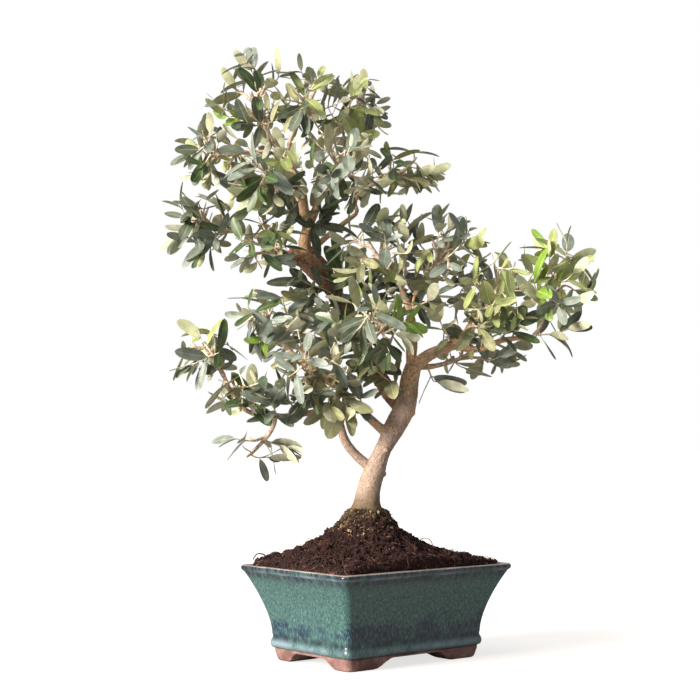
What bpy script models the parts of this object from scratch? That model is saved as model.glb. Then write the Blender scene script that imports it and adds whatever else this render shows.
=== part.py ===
"""An olive bonsai in a glazed rectangular pot, built the way the real one is: a pot with a bare clay foot ring, a
mound of soil, a trunk, an old cut-back trunk behind it, the boughs, and the masses of leaves that they carry.

Metres, +Z up. The pot stands on z = 0 with its long side along X, and the middle of the plant's reach is over the
origin. The tree is planted with its best side turned away from the pot's long side. Its own directions are across
(to the right, seen from that side), back (away from there) and up, and every place on the tree is given in them."""

import math
import random

import bmesh
import bpy
import numpy as np
from mathutils import Matrix, Vector

# ---------------------------------------------------------------- driving sizes
GAP = 0.0003  # between neighbouring solids
TREE_TURN = math.radians(-41.0)  # from the pot's long side to the tree's across direction
POT_PLACE = Vector((-0.0055, 0.0, 0.0))  # the pot's axis, from the middle of the plant's reach

POT_LENGTH, POT_DEPTH, POT_HEIGHT = 0.240, 0.180, 0.102
BEAD_LENGTH, BEAD_DEPTH = 0.194, 0.134  # over the bead that runs round the glazed body's foot
BODY_FOOT, NECK_HEIGHT, LIP_FOOT = 0.0136, 0.0290, 0.0955
RIM_OUTSET = (POT_LENGTH - BEAD_LENGTH) / 2
NECK_OUTSET = -0.0012
LIP_OVERHANG = 0.0022
RIM_WIDTH = 0.009
# (how far outside the bead, height) of the bead, and of the rolled lip
BEAD_PROFILE = ((-0.0030, BODY_FOOT), (-0.0006, 0.0162), (0.0, 0.0197), (-0.0007, 0.0242))
LIP_PROFILE = (
    (RIM_OUTSET - 0.0004, LIP_FOOT + 0.0016), (RIM_OUTSET, POT_HEIGHT - 0.0022),
    (RIM_OUTSET - 0.0018, POT_HEIGHT), (RIM_OUTSET - RIM_WIDTH, POT_HEIGHT))
WALL, FLOOR = 0.007, 0.008
FLARE_POWER = 1.6
WALL_STEPS, CAVITY_STEPS = 6, 3
CORNER_RADIUS, CORNER_STEPS = 0.007, 3
DRAIN_RADIUS, DRAIN_SPACING, DRAIN_SIDES = 0.009, 0.090, 20

FOOT_RING_SINK = 0.0034  # the foot ring stands this far inside the bead
FOOT_TAPER, FOOT_EASE = 0.0024, 0.0015
RING_FLOOR = 0.0105  # from the ground to the underside between the feet
FOOT_LONG, FOOT_SHORT = 0.036, 0.021  # flat stretch of each foot, along the pot's two sides
SCROLL_LONG, SCROLL_SHORT = 0.024, 0.018  # the curve from a foot up to the arch
SCROLL_STEPS = 8
ARCH_RUN, ARCH_BELOW = 0.3, 0.004  # the tunnel's length, and how far it starts under the ground

SOIL_EDGE, SOIL_TOP = 0.1035, 0.160
MOUND_RISE, MOUND_SPREAD, MOUND_POWER = 0.048, 0.066, 1.6
COLLAR_RISE, COLLAR_RADIUS, COLLAR_SPREAD, COLLAR_POWER = 0.0148, 0.014, 0.014, 1.5
SOIL_STEPS, SOIL_STEP_POWER = 7, 0.75

ROOT_RADIUS, ROOT_FLARE_HEIGHT = 0.0165, 0.008  # of the trunk where it meets the soil
SEAT_MARGIN = 0.002  # flat soil left round the trunk's foot
TRUNK_RADII = (0.0124, 0.0120, 0.0118)  # at the first three of its shares
WAIST_DEPTH, WAIST_UP, WAIST_SPREAD = 0.0030, 0.226, 0.016
KNUCKLE_SWELL, KNUCKLE_SHARE, KNUCKLE_SPREAD = 0.0048, 0.84, 0.09  # where the old trunk was cut back
TRUNK_SHARES = (0.0, 0.35, 0.75, 1.0)
TAPER_POWER = 0.8  # a limb loses its thickness a little faster near its foot
STOUT = 0.008  # a limb thicker than this gets ten sides, and others eight
RINGS_EVERY, RINGS_PER_RADIUS = 0.0110, 0.6  # distance between the rings of a limb's mesh, and what its radius adds

# ---------------------------------------------------------------- limbs: points are (across, back, up)
# name: (limb it grows from, radius at its foot, radius at its tip, points through which it bends)
LIMBS = {
    "trunk": (None, ROOT_RADIUS, 0.0092, (
        (-0.0112, 0.0, 0.154), (-0.0104, 0.0, 0.170), (-0.0082, 0.0, 0.184), (-0.0030, 0.0, 0.201),
        (0.0062, 0.0, 0.224), (0.0208, 0.0, 0.2525), (0.0302, 0.0, 0.270), (0.0340, 0.0, 0.286),
        (0.0362, 0.0, 0.302), (0.0400, 0.0, 0.3165))),
    "old_trunk": ("trunk", 0.0090, 0.0085, (
        (0.0270, 0.002, 0.272), (0.0136, 0.010, 0.2886), (-0.0072, 0.025, 0.324), (-0.0320, 0.036, 0.371),
        (-0.0550, 0.040, 0.413), (-0.0680, 0.039, 0.429), (-0.0830, 0.036, 0.439), (-0.0980, 0.033, 0.441))),
    "crown_stem": ("old_trunk", 0.0080, 0.0036, (
        (-0.0790, 0.036, 0.437), (-0.0800, 0.033, 0.458), (-0.0765, 0.030, 0.474), (-0.0805, 0.026, 0.492),
        (-0.0830, 0.020, 0.512), (-0.0920, 0.014, 0.533), (-0.1150, 0.014, 0.565))),
    "right_stem": ("crown_stem", 0.0056, 0.0030, (
        (-0.0762, 0.030, 0.474), (-0.0680, 0.030, 0.492), (-0.0620, 0.030, 0.511), (-0.0450, 0.029, 0.527),
        (-0.0340, 0.024, 0.560))),
    "far_right_limb": ("old_trunk", 0.0040, 0.0023, (
        (-0.0800, 0.037, 0.440), (-0.0577, 0.042, 0.4617), (-0.0353, 0.045, 0.480), (-0.0225, 0.045, 0.491),
        (-0.0240, 0.045, 0.502), (-0.0173, 0.045, 0.514), (0.0100, 0.045, 0.527))),
    "drooping_limb": ("old_trunk", 0.0042, 0.0026, (
        (-0.0880, 0.035, 0.439), (-0.1064, 0.030, 0.446), (-0.1190, 0.024, 0.455), (-0.1700, 0.016, 0.476))),
    "middle_stem": ("trunk", 0.0062, 0.0034, (
        (0.0385, 0.0, 0.310), (0.0372, 0.0, 0.336), (0.0388, 0.0, 0.3617), (0.0360, -0.001, 0.377),
        (0.0240, -0.004, 0.410))),
    "right_bough": ("trunk", 0.0080, 0.0046, (
        (0.0385, 0.0, 0.313), (0.0540, 0.0, 0.3267), (0.0693, 0.0, 0.3343), (0.0824, 0.0, 0.3397),
        (0.0944, 0.0, 0.3485), (0.1180, -0.004, 0.376))),
    "right_arm": ("right_bough", 0.0044, 0.0024, (
        (0.0815, 0.0, 0.3395), (0.1020, 0.002, 0.3354), (0.1173, 0.002, 0.3364), (0.1347, 0.0, 0.3441),
        (0.1544, 0.0, 0.3473), (0.1700, 0.001, 0.3480), (0.1860, 0.002, 0.370))),
    "right_low_limb": ("right_bough", 0.0044, 0.0030, (
        (0.0440, 0.002, 0.3170), (0.0590, 0.010, 0.3165), (0.0740, 0.016, 0.3205), (0.0900, 0.026, 0.3290),
        (0.1180, 0.042, 0.345))),
    "left_high_limb": ("trunk", 0.0054, 0.0026, (
        (0.0110, 0.0, 0.243), (-0.0060, -0.005, 0.2585), (-0.0234, -0.012, 0.2763), (-0.0400, -0.018, 0.2915),
        (-0.0620, -0.020, 0.3060), (-0.0980, -0.016, 0.336))),
    "left_low_limb": ("trunk", 0.0060, 0.0042, (
        (-0.0030, 0.0, 0.203), (-0.0240, -0.005, 0.2215), (-0.0343, -0.010, 0.2363), (-0.0392, -0.012, 0.252),
        (-0.0440, -0.015, 0.269))),
    "left_low_arm": ("left_low_limb", 0.0036, 0.0024, (
        (-0.0425, -0.0145, 0.2640), (-0.0600, -0.015, 0.2675), (-0.0870, -0.015, 0.2635), (-0.1240, -0.015, 0.2625),
        (-0.1500, -0.016, 0.276), (-0.1700, -0.016, 0.315))),
}

# ---------------------------------------------------------------- masses of foliage
# name: (limb, how far along it the bough leaves, or 1 for the limb's tip, centre, reach across, back and up)
MASSES = {
    "peak_leaves": ("crown_stem", 1.0, (-0.1330, 0.004, 0.608), (0.058, 0.058, 0.068)),
    "top_middle_leaves": ("crown_stem", 0.80, (-0.0740, -0.024, 0.600), (0.052, 0.056, 0.058)),
    "top_right_leaves": ("right_stem", 1.0, (-0.0240, 0.012, 0.595), (0.054, 0.060, 0.060)),
    "far_right_leaves": ("far_right_limb", 1.0, (0.0280, 0.036, 0.537), (0.058, 0.054, 0.043)),
    "upper_left_leaves": ("crown_stem", 0.84, (-0.1780, 0.010, 0.551), (0.054, 0.058, 0.054)),
    "low_left_leaves": ("drooping_limb", 1.0, (-0.1880, 0.006, 0.474), (0.060, 0.060, 0.056)),
    "front_leaves": ("crown_stem", 0.45, (-0.1130, -0.050, 0.518), (0.058, 0.058, 0.054)),
    "low_front_leaves": ("drooping_limb", 0.40, (-0.1220, -0.028, 0.448), (0.052, 0.050, 0.042)),
    "inner_right_leaves": ("right_stem", 0.50, (-0.0370, -0.048, 0.526), (0.060, 0.058, 0.054)),
    "back_left_leaves": ("crown_stem", 0.42, (-0.1200, 0.078, 0.535), (0.058, 0.048, 0.060)),
    "back_right_leaves": ("right_stem", 0.35, (-0.0400, 0.082, 0.548), (0.056, 0.046, 0.058)),
    "middle_top_leaves": ("middle_stem", 1.0, (-0.0020, -0.022, 0.441), (0.062, 0.056, 0.054)),
    "middle_right_leaves": ("middle_stem", 0.62, (0.0740, -0.006, 0.443), (0.059, 0.060, 0.056)),
    "middle_front_leaves": ("middle_stem", 0.30, (-0.0060, -0.056, 0.356), (0.064, 0.052, 0.058)),
    "middle_back_leaves": ("trunk", 0.93, (0.0300, 0.072, 0.410), (0.058, 0.048, 0.056)),
    "right_inner_leaves": ("right_bough", 1.0, (0.1300, -0.014, 0.402), (0.055, 0.060, 0.056)),
    "right_tip_leaves": ("right_arm", 1.0, (0.1940, 0.000, 0.410), (0.057, 0.060, 0.064)),
    "right_low_leaves": ("right_low_limb", 1.0, (0.1100, 0.034, 0.337), (0.064, 0.052, 0.038)),
    "right_back_leaves": ("right_bough", 0.45, (0.1180, 0.074, 0.402), (0.056, 0.046, 0.050)),
    "left_high_leaves": ("left_high_limb", 1.0, (-0.1160, -0.014, 0.365), (0.058, 0.056, 0.050)),
    "left_tip_leaves": ("left_low_arm", 1.0, (-0.1820, -0.016, 0.333), (0.055, 0.056, 0.050)),
    "left_inner_leaves": ("left_high_limb", 0.62, (-0.0680, -0.044, 0.318), (0.058, 0.052, 0.050)),
    "left_low_leaves": ("left_low_arm", 0.62, (-0.1440, -0.026, 0.290), (0.052, 0.048, 0.038)),
    "left_drooping_leaves": ("left_low_arm", 0.46, (-0.1310, -0.014, 0.229), (0.056, 0.044, 0.043)),
    "left_back_leaves": ("old_trunk", 0.30, (-0.0820, 0.068, 0.352), (0.058, 0.048, 0.054)),
}
SPACE_GAP = 0.035  # between two masses' spaces, as a share of their reach
LIMB_CLEARANCE, NEAR_REACH = 0.0012, 1.6  # from twigs and leaves to a limb, and how far off limbs are tested
BOUGH_BEND_AT, BOUGH_BEND = 0.35, 0.22  # how far along a bough bends, and how far aside, of its length
BOUGH_SHARE = 0.62  # a bough's radius, of the limb's that it leaves
BOUGH_MOST, BOUGH_TAPER = 0.0034, 0.66
BOUGH_LEAST = 0.016  # a mass nearer to its limb than this sits straight on it

STEM_RADIUS, STEM_TIP_RADIUS = 0.0027, 0.0022  # from a twig's middle to its three corners
STEM_BEND_AT, STEM_OVERRUN = 0.35, 0.15  # shares of the way from a stem's seat to its mass's centre
STEM_OVERLAP = 0.6  # of the stem's radius, between its two stretches
SHOOT_FIRST, SHOOT_ROOM = 0.16, 0.80  # where shoots start along the stem's second stretch
SHOOT_RADIUS, SHOOT_TIP_RADIUS = 0.0015, 0.0011
SHOOT_SINK = 0.0018
SHOOT_EVERY = 0.0092  # surface of a mass's space for each shoot, in square metres
SHOOT_REACH = (0.62, 0.78)  # how far out a shoot ends, of the space's reach
SHOOT_STEPS, SHOOT_LEAST = 24, 12  # places tried along a shoot, and the fewest that it may keep
NEARLY_UP = (0.3, 0.2, 1.0)  # no twig runs just this way
TWIG_FACES = [math.radians(angle) for angle in (30, 150, 270)]  # which way a twig's three sides face
LEAF_LENGTH, LEAF_WIDTH, LEAF_THICKNESS = 0.041, 0.0205, 0.0014
LEAF_PLACES = (0.25, 0.50, 0.74, 0.97)  # pairs of leaves along a shoot, each turned a quarter from the last
LEAF_SPREADS = (58.0, 52.0, 44.0, 28.0)  # degrees between the shoot and its leaves, pair by pair
LEAF_TURN, LEAF_TILT = 0.16, 7.0  # how much a pair's place strays: radians a try, and degrees
LEAF_LIFT = 0.8  # how strongly a leaf turns its face up to the light
LEAF_SHORTER = 0.035  # of its length, for each try after the first
LEAF_SINK = 0.0009
LEAF_TRIES = 10
LEAF_SPACING = 0.0056
TWIG_CLEARANCE = 0.0013
SEED = 31


# ---------------------------------------------------------------- scene and materials
def clear_scene():
    for obj in list(bpy.data.objects):
        bpy.data.objects.remove(obj)


def new_collection(name):
    made = bpy.data.collections.new(name)
    bpy.context.scene.collection.children.link(made)
    return made


def new_material(name, colour, roughness):
    material = bpy.data.materials.new(name)
    material.use_nodes = True
    shader = material.node_tree.nodes["Principled BSDF"]
    shader.inputs["Base Color"].default_value = (*colour, 1.0)
    shader.inputs["Roughness"].default_value = roughness
    shader.inputs["Metallic"].default_value = 0.0
    return material


def mesh_object(name, mesh, material, collection):
    obj = bpy.data.objects.new(name, mesh)
    mesh.materials.append(material)
    collection.objects.link(obj)
    return obj


def as_cutter(obj, collection):
    """Moves a helper out of the part, and out of renders."""
    for owner in list(obj.users_collection):
        owner.objects.unlink(obj)
    collection.objects.link(obj)
    obj.hide_render = True
    obj.display_type = "WIRE"
    return obj


def cut(obj, cutter):
    boolean = obj.modifiers.new("cut_" + cutter.name, "BOOLEAN")
    boolean.operation = "DIFFERENCE"
    boolean.object = cutter


def shade_smooth(mesh, sharp_angle):
    mesh.shade_smooth()
    mesh.set_sharp_from_angle(angle=sharp_angle)


# ---------------------------------------------------------------- pot
def ring_at(outset, height):
    """The pot's outline this far outside the bead: a rectangle with arcs for corners, from +X anticlockwise."""
    straight_x = BEAD_LENGTH / 2 + outset - CORNER_RADIUS
    straight_y = BEAD_DEPTH / 2 + outset - CORNER_RADIUS
    ring = []
    for corner, (sx, sy) in enumerate(((1, 1), (-1, 1), (-1, -1), (1, -1))):
        for step in range(CORNER_STEPS + 1):
            angle = (corner + step / CORNER_STEPS) * math.pi / 2
            x = sx * straight_x + CORNER_RADIUS * math.cos(angle)
            y = sy * straight_y + CORNER_RADIUS * math.sin(angle)
            ring.append((x, y, height))
    return ring


def loft(name, rings):
    """A closed mesh through rings of points, each ring a list of as many (x, y, z), lowest ring first."""
    body = bmesh.new()
    rows = [[body.verts.new(point) for point in ring] for ring in rings]
    count = len(rows[0])
    for low, high in zip(rows, rows[1:]):
        for i in range(count):
            j = (i + 1) % count
            body.faces.new((low[i], low[j], high[j], high[i]))
    body.faces.new(rows[0][::-1])
    body.faces.new(rows[-1])
    mesh = bpy.data.meshes.new(name)
    body.to_mesh(mesh)
    body.free()
    return mesh


def wall_outset(height):
    """How far the flared wall stands outside the bead: it leaves the neck upright and leans out to the lip."""
    share = max(0.0, (height - NECK_HEIGHT) / (LIP_FOOT - NECK_HEIGHT))
    return NECK_OUTSET + (RIM_OUTSET - LIP_OVERHANG - NECK_OUTSET) * share**FLARE_POWER


def pot_cavity(inset):
    """Rings down the inside of the wall to the pot's floor, this far inside its surface."""
    floor = BODY_FOOT + FLOOR + inset
    heights = [floor + (LIP_FOOT - floor) * i / CAVITY_STEPS for i in range(CAVITY_STEPS + 1)]
    return [ring_at(wall_outset(height) - WALL - inset, height) for height in heights]


def drill_drains(obj, middle, depth, cutters):
    """Two round drain holes, side by side along the pot."""
    for side in (-1, 1):
        bpy.ops.mesh.primitive_cylinder_add(
            vertices=DRAIN_SIDES, radius=DRAIN_RADIUS, depth=depth,
            location=POT_PLACE + Vector((side * DRAIN_SPACING / 2, 0.0, middle)))
        drill = bpy.context.object
        drill.name = f"{obj.name}_drain"
        cut(obj, as_cutter(drill, cutters))


def make_pot(parts, cutters, glaze):
    """The glazed body: bead, neck, flared wall and rolled lip, with a cavity for the soil and two drain holes."""
    rings = [ring_at(*place) for place in BEAD_PROFILE]
    for i in range(WALL_STEPS + 1):
        height = NECK_HEIGHT + (LIP_FOOT - NECK_HEIGHT) * i / WALL_STEPS
        rings.append(ring_at(wall_outset(height), height))
    rings += [ring_at(*place) for place in LIP_PROFILE]
    rings += pot_cavity(0.0)[::-1]
    mesh = loft("pot", rings)
    shade_smooth(mesh, math.radians(40))
    pot = mesh_object("pot", mesh, glaze, parts)
    pot.location = POT_PLACE
    drill_drains(pot, BODY_FOOT + FLOOR / 2, 4 * FLOOR, cutters)


def arch_cutter(name, span, foot, scroll, turn, cutters):
    """A tunnel under the pot: an arch between two feet, drawn as a flat outline and run through the foot ring."""
    half = span / 2 - foot
    right = [(half, -ARCH_BELOW), (half, 0.0)]
    for i in range(1, SCROLL_STEPS + 1):
        share = i / SCROLL_STEPS
        right.append((half - scroll * share, RING_FLOOR * share * share * (3 - 2 * share)))
    outline = right + [(-x, z) for x, z in right[::-1]]
    curve = bpy.data.curves.new(name, "CURVE")
    curve.dimensions, curve.fill_mode, curve.extrude = "2D", "BOTH", ARCH_RUN / 2
    spline = curve.splines.new("POLY")
    spline.points.add(len(outline) - 1)
    for point, (x, z) in zip(spline.points, outline):
        point.co = (x, z, 0.0, 1.0)
    spline.use_cyclic_u = True
    drawn = bpy.data.objects.new(name + "_line", curve)
    bpy.context.scene.collection.objects.link(drawn)
    drawn.matrix_world = (
        Matrix.Translation(POT_PLACE) @ Matrix.Rotation(turn, 4, "Z") @ Matrix.Rotation(math.pi / 2, 4, "X"))
    return as_cutter(curve_to_mesh(drawn, name), cutters)


def curve_to_mesh(drawn, name):
    """The curve's solid as a mesh object in the same place, its caps welded on. The curve is removed."""
    bpy.context.view_layer.update()
    graph = bpy.context.evaluated_depsgraph_get()
    mesh = bpy.data.meshes.new_from_object(drawn.evaluated_get(graph))
    body = bmesh.new()
    body.from_mesh(mesh)
    bmesh.ops.remove_doubles(body, verts=body.verts, dist=0.00001)
    bmesh.ops.recalc_face_normals(body, faces=body.faces)
    body.to_mesh(mesh)
    body.free()
    made = bpy.data.objects.new(name, mesh)
    bpy.context.scene.collection.objects.link(made)
    made.matrix_world = drawn.matrix_world.copy()
    bpy.data.objects.remove(drawn)
    return made


def make_foot_ring(parts, cutters, clay):
    """The unglazed base under the body, cut through both ways by arches so that four corner feet stand clear."""
    rings = [
        ring_at(-FOOT_RING_SINK - FOOT_TAPER - FOOT_EASE, 0.0),
        ring_at(-FOOT_RING_SINK - FOOT_TAPER, FOOT_EASE),
        ring_at(-FOOT_RING_SINK, RING_FLOOR),
        ring_at(-FOOT_RING_SINK, BODY_FOOT - GAP),
    ]
    feet = mesh_object("pot_feet", loft("pot_feet", rings), clay, parts)
    feet.location = POT_PLACE
    length = BEAD_LENGTH - 2 * (FOOT_RING_SINK + FOOT_TAPER)
    depth = BEAD_DEPTH - 2 * (FOOT_RING_SINK + FOOT_TAPER)
    cut(feet, arch_cutter("long_arch", length, FOOT_LONG, SCROLL_LONG, 0.0, cutters))
    cut(feet, arch_cutter("short_arch", depth, FOOT_SHORT, SCROLL_SHORT, math.pi / 2, cutters))
    drill_drains(feet, BODY_FOOT, 2 * BODY_FOOT, cutters)


# ---------------------------------------------------------------- soil
def mound_height(distance):
    """The soil's surface, by its distance from the trunk: a broad mound with a steep collar of old root ball."""
    mound = MOUND_RISE * math.exp(-((distance / MOUND_SPREAD) ** MOUND_POWER))
    past = max(0.0, distance - COLLAR_RADIUS) / COLLAR_SPREAD
    return SOIL_EDGE + mound + COLLAR_RISE * math.exp(-(past**COLLAR_POWER))


def make_soil(parts, earth, tree_frame):
    """Soil that fills the pot, heaped up to a flat seat for the trunk."""
    trunk_foot = tree_frame @ Vector(LIMBS["trunk"][3][0])
    centre = Vector((trunk_foot.x - POT_PLACE.x, trunk_foot.y - POT_PLACE.y))
    rings = pot_cavity(GAP)
    edge = [Vector((x, y)) for x, y, _ in rings[-1]]
    seat, top = ROOT_RADIUS + SEAT_MARGIN, SOIL_TOP - GAP
    for i in range(1, SOIL_STEPS + 1):
        share = (i / SOIL_STEPS) ** SOIL_STEP_POWER
        ring = []
        for corner in edge:
            away = corner - centre
            reach = away.length + (seat - away.length) * share
            place = centre + away.normalized() * reach
            height = top if i == SOIL_STEPS else min(mound_height(reach), top)
            ring.append((place.x, place.y, height))
        rings.append(ring)
    mesh = loft("soil", rings)
    shade_smooth(mesh, math.radians(50))
    soil = mesh_object("soil", mesh, earth, parts)
    soil.location = POT_PLACE


# ---------------------------------------------------------------- limbs
def unit(vector):
    return vector / np.linalg.norm(vector)


def smooth_path(points, spacing=0.004):
    """A Catmull-Rom curve through the points, as an array with one row about every spacing."""
    points = np.array(points, float)
    ends = np.vstack([2 * points[0] - points[1], points, 2 * points[-1] - points[-2]])
    rows = []
    for a, b, c, d in zip(ends, ends[1:], ends[2:], ends[3:]):
        steps = max(2, round(np.linalg.norm(c - b) / spacing))
        for t in np.arange(steps) / steps:
            rows.append(0.5 * (
                2 * b + (c - a) * t + (2 * a - 5 * b + 4 * c - d) * t**2 + (3 * b - a - 3 * c + d) * t**3))
    rows.append(points[-1])
    return np.array(rows)


def lengths_along(path):
    steps = np.linalg.norm(np.diff(path, axis=0), axis=1)
    return np.concatenate([[0.0], np.cumsum(steps)])


def share_point(path, share):
    """(place, direction) at this share of the path's length."""
    run = lengths_along(path)
    place = np.array([np.interp(share * run[-1], run, path[:, k]) for k in range(3)])
    i = int(np.clip(np.searchsorted(run, share * run[-1]), 1, len(path) - 1))
    direction = path[i] - path[i - 1]
    return place, direction / np.linalg.norm(direction)


def limb_radii(name, path, foot, tip):
    """The limb's radius along its path. The trunk flares into the soil and swells at its bend, the old trunk thickens
    to its cut-back knuckle, and every other limb tapers evenly."""
    run = lengths_along(path)
    share = run / run[-1]
    if name == "trunk":
        up = path[:, 2]
        flare = (foot - TRUNK_RADII[0]) * np.exp(-np.maximum(0.0, up - SOIL_TOP) / ROOT_FLARE_HEIGHT)
        waist = WAIST_DEPTH * np.exp(-(((up - WAIST_UP) / WAIST_SPREAD) ** 2))
        return np.interp(share, TRUNK_SHARES, (*TRUNK_RADII, tip)) + flare - waist
    if name == "old_trunk":
        knuckle = KNUCKLE_SWELL * np.exp(-(((share - KNUCKLE_SHARE) / KNUCKLE_SPREAD) ** 2))
        return foot + (tip - foot) * share + knuckle
    return foot + (tip - foot) * share**TAPER_POWER


MASS_NAMES = list(MASSES)
CENTRES = np.array([MASSES[name][2] for name in MASS_NAMES])
REACHES = np.array([MASSES[name][3] for name in MASS_NAMES])


def in_space(index, points):
    """Whether each point is in this mass's own space: within its reach, and nearer to it than to any other mass."""
    apart = np.linalg.norm((points[:, None, :] - CENTRES) / REACHES, axis=2)
    own = apart[:, index].copy()
    apart[:, index] = np.inf
    return (own <= 1.0) & (own <= apart.min(axis=1) - SPACE_GAP)


def end_at_space(path, index):
    """The path up to where it enters the mass's space."""
    inside = in_space(index, path)
    last = int(np.argmax(inside)) if inside.any() else len(path) - 1
    return path[: max(last, 3) + 1]


def bough_path(parent, share, index):
    """A bough worked out from its ends: it leaves its limb along the limb's own way and turns to the mass."""
    start, along = share_point(parent, share)
    far = CENTRES[index] - start
    aside = along - far * (along @ far) / (far @ far)
    bend = start + BOUGH_BEND_AT * far + BOUGH_BEND * np.linalg.norm(far) * aside
    return smooth_path((start, bend, CENTRES[index]))


def lay_out_limbs():
    """Every limb as name: (path, radii), and for each mass the place and direction in which its stem starts."""
    limbs, seats = {}, {}
    at_tip = {MASSES[name][0]: i for i, name in enumerate(MASS_NAMES) if MASSES[name][1] == 1.0}
    for name, (_, foot, tip, points) in LIMBS.items():
        path = smooth_path(points)
        if name in at_tip:
            path = end_at_space(path, at_tip[name])
        limbs[name] = thinned(path, limb_radii(name, path, foot, tip))
        if name in at_tip:
            seats[at_tip[name]] = tip_seat(limbs[name][0])
    for index, mass in enumerate(MASS_NAMES):
        carrier, share = MASSES[mass][:2]
        if share < 1.0:
            parent, parent_radii = limbs[carrier]
            radius = np.interp(share, np.linspace(0, 1, len(parent)), parent_radii)
            path = end_at_space(bough_path(parent, share, index), index)
            if lengths_along(path)[-1] - radius < BOUGH_LEAST:
                seats[index] = side_seat(parent, share, radius, CENTRES[index])
                continue
            name = mass.replace("_leaves", "_bough")
            foot = min(BOUGH_MOST, BOUGH_SHARE * radius)
            limbs[name] = thinned(path, limb_radii(name, path, foot, foot * BOUGH_TAPER))
            seats[index] = tip_seat(limbs[name][0])
    return limbs, seats


def tip_seat(path):
    """Where a mass's stem starts on a limb's tip, and the way it goes."""
    along = unit(path[-1] - path[-2])
    return path[-1] + along * GAP, along


def side_seat(parent, share, radius, centre):
    """Where a mass's stem starts on a limb's side, and the way it goes."""
    start, run = share_point(parent, share)
    out = centre - start
    out = unit(out - run * (out @ run))
    return start + out * (radius + GAP), out


def tube(name, path, radii, sides_level, extra=0.0):
    """A limb as a curve with a bevel and filled caps, made a mesh."""
    curve = bpy.data.curves.new(name, "CURVE")
    curve.dimensions, curve.bevel_depth = "3D", 1.0
    curve.bevel_resolution, curve.use_fill_caps = sides_level, True
    spline = curve.splines.new("POLY")
    spline.points.add(len(path) - 1)
    for point, place, radius in zip(spline.points, path, radii):
        point.co = (*place, 1.0)
        point.radius = radius + extra
    drawn = bpy.data.objects.new(name + "_line", curve)
    bpy.context.scene.collection.objects.link(drawn)
    return curve_to_mesh(drawn, name)


def thinned(path, radii):
    """The same limb with fewer points, further apart the stouter it is."""
    run = lengths_along(path)
    count = max(4, round(run[-1] / (RINGS_EVERY + RINGS_PER_RADIUS * radii.mean())) + 1)
    at = np.linspace(0.0, run[-1], count)
    places = np.stack([np.interp(at, run, path[:, k]) for k in range(3)], axis=1)
    return places, np.interp(at, run, radii)


def cut_flat(obj, height):
    """Saws the object off level at this height and closes the cut."""
    body = bmesh.new()
    body.from_mesh(obj.data)
    geometry = body.verts[:] + body.edges[:] + body.faces[:]
    made = bmesh.ops.bisect_plane(
        body, geom=geometry, plane_co=(0, 0, height), plane_no=(0, 0, 1), clear_inner=True)
    edges = [item for item in made["geom_cut"] if isinstance(item, bmesh.types.BMEdge)]
    bmesh.ops.contextual_create(body, geom=edges)
    body.to_mesh(obj.data)
    body.free()


def make_limbs(limbs, parts, cutters, barks, tree):
    """Each limb in its own node. Where two meet, the later one is cut back from the earlier, fattened by the gap."""
    done = []
    for name, (path, radii) in limbs.items():
        level = 3 if radii.max() > STOUT else 2
        obj = tube(name, path, radii, level)
        if name == "trunk":
            cut_flat(obj, SOIL_TOP)
        for other, other_path, other_radii, other_level in done:
            gaps = [gaps_to(point[None], other_path[:-1], other_path[1:], other_radii[1:]) for point in path]
            if min(gaps - radii) < 0.0:
                cutter = tube("around_" + other, other_path, other_radii, other_level, GAP)
                cutter.parent = tree
                cut(obj, as_cutter(cutter, cutters))
                print(name, "cut back from", other)
        bpy.context.scene.collection.objects.unlink(obj)
        parts.objects.link(obj)
        obj.parent = tree
        obj.data.materials.append(barks["old" if name == "old_trunk" else "young"])
        shade_smooth(obj.data, math.radians(60))
        done.append((name, path, radii, level))


# ---------------------------------------------------------------- foliage
def ball_directions(count, turn):
    """Evenly spread directions on a ball."""
    golden = math.pi * (3 - math.sqrt(5))
    z = 1 - (2 * np.arange(count) + 1) / count
    angle = golden * np.arange(count) + turn
    ring = np.sqrt(1 - z * z)
    return np.stack([ring * np.cos(angle), ring * np.sin(angle), z], axis=1)


def gaps_to(points, starts, ends, radii):
    """The least gap between these points and any of the limbs or twigs given by their ends and radii."""
    runs = ends - starts
    off = points[:, None, :] - starts
    share = np.clip((off * runs).sum(axis=2) / (runs * runs).sum(axis=1), 0.0, 1.0)
    apart = np.linalg.norm(off - share[:, :, None] * runs, axis=2) - radii
    return apart.min()


def limb_pieces(limbs, centre, reach):
    """Every straight stretch of limb near a mass, as starts, ends and radii."""
    starts = np.vstack([path[:-1] for path, _ in limbs.values()])
    ends = np.vstack([path[1:] for path, _ in limbs.values()])
    radii = np.concatenate([np.maximum(thick[:-1], thick[1:]) for _, thick in limbs.values()])
    near = np.linalg.norm((starts + ends) / 2 - centre, axis=1) < NEAR_REACH * max(reach)
    return starts[near], ends[near], radii[near]


def leaf_points(base, along, wide, length, width):
    """Places all over a leaf's blade, from its foot to its tip."""
    shares = np.linspace(0.1, 1.0, 10)[:, None, None]
    across = np.linspace(-1.0, 1.0, 5)[:, None]
    spread = width / 2 * (1 - np.abs(2 * shares - 1))
    return (base + along * length * shares + wide * spread * across).reshape(-1, 3)


def leaf_fits(points, index, limbs_near, shoots, own, placed):
    """Whether a leaf keeps to its mass's space and stays clear of limbs, other shoots and the leaves before it."""
    if not in_space(index, points).all():
        return False
    if len(limbs_near[0]) and gaps_to(points, *limbs_near) < LIMB_CLEARANCE + LEAF_THICKNESS / 2:
        return False
    others = [shoot for i, shoot in enumerate(shoots) if i != own]
    starts, ends, radii, _ = (np.array(column) for column in zip(*others))
    outer = points[10:]
    if gaps_to(outer, starts, ends, radii) < TWIG_CLEARANCE:
        return False
    return all(np.linalg.norm(outer[:, None, :] - other, axis=2).min() > LEAF_SPACING for other in placed)


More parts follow.
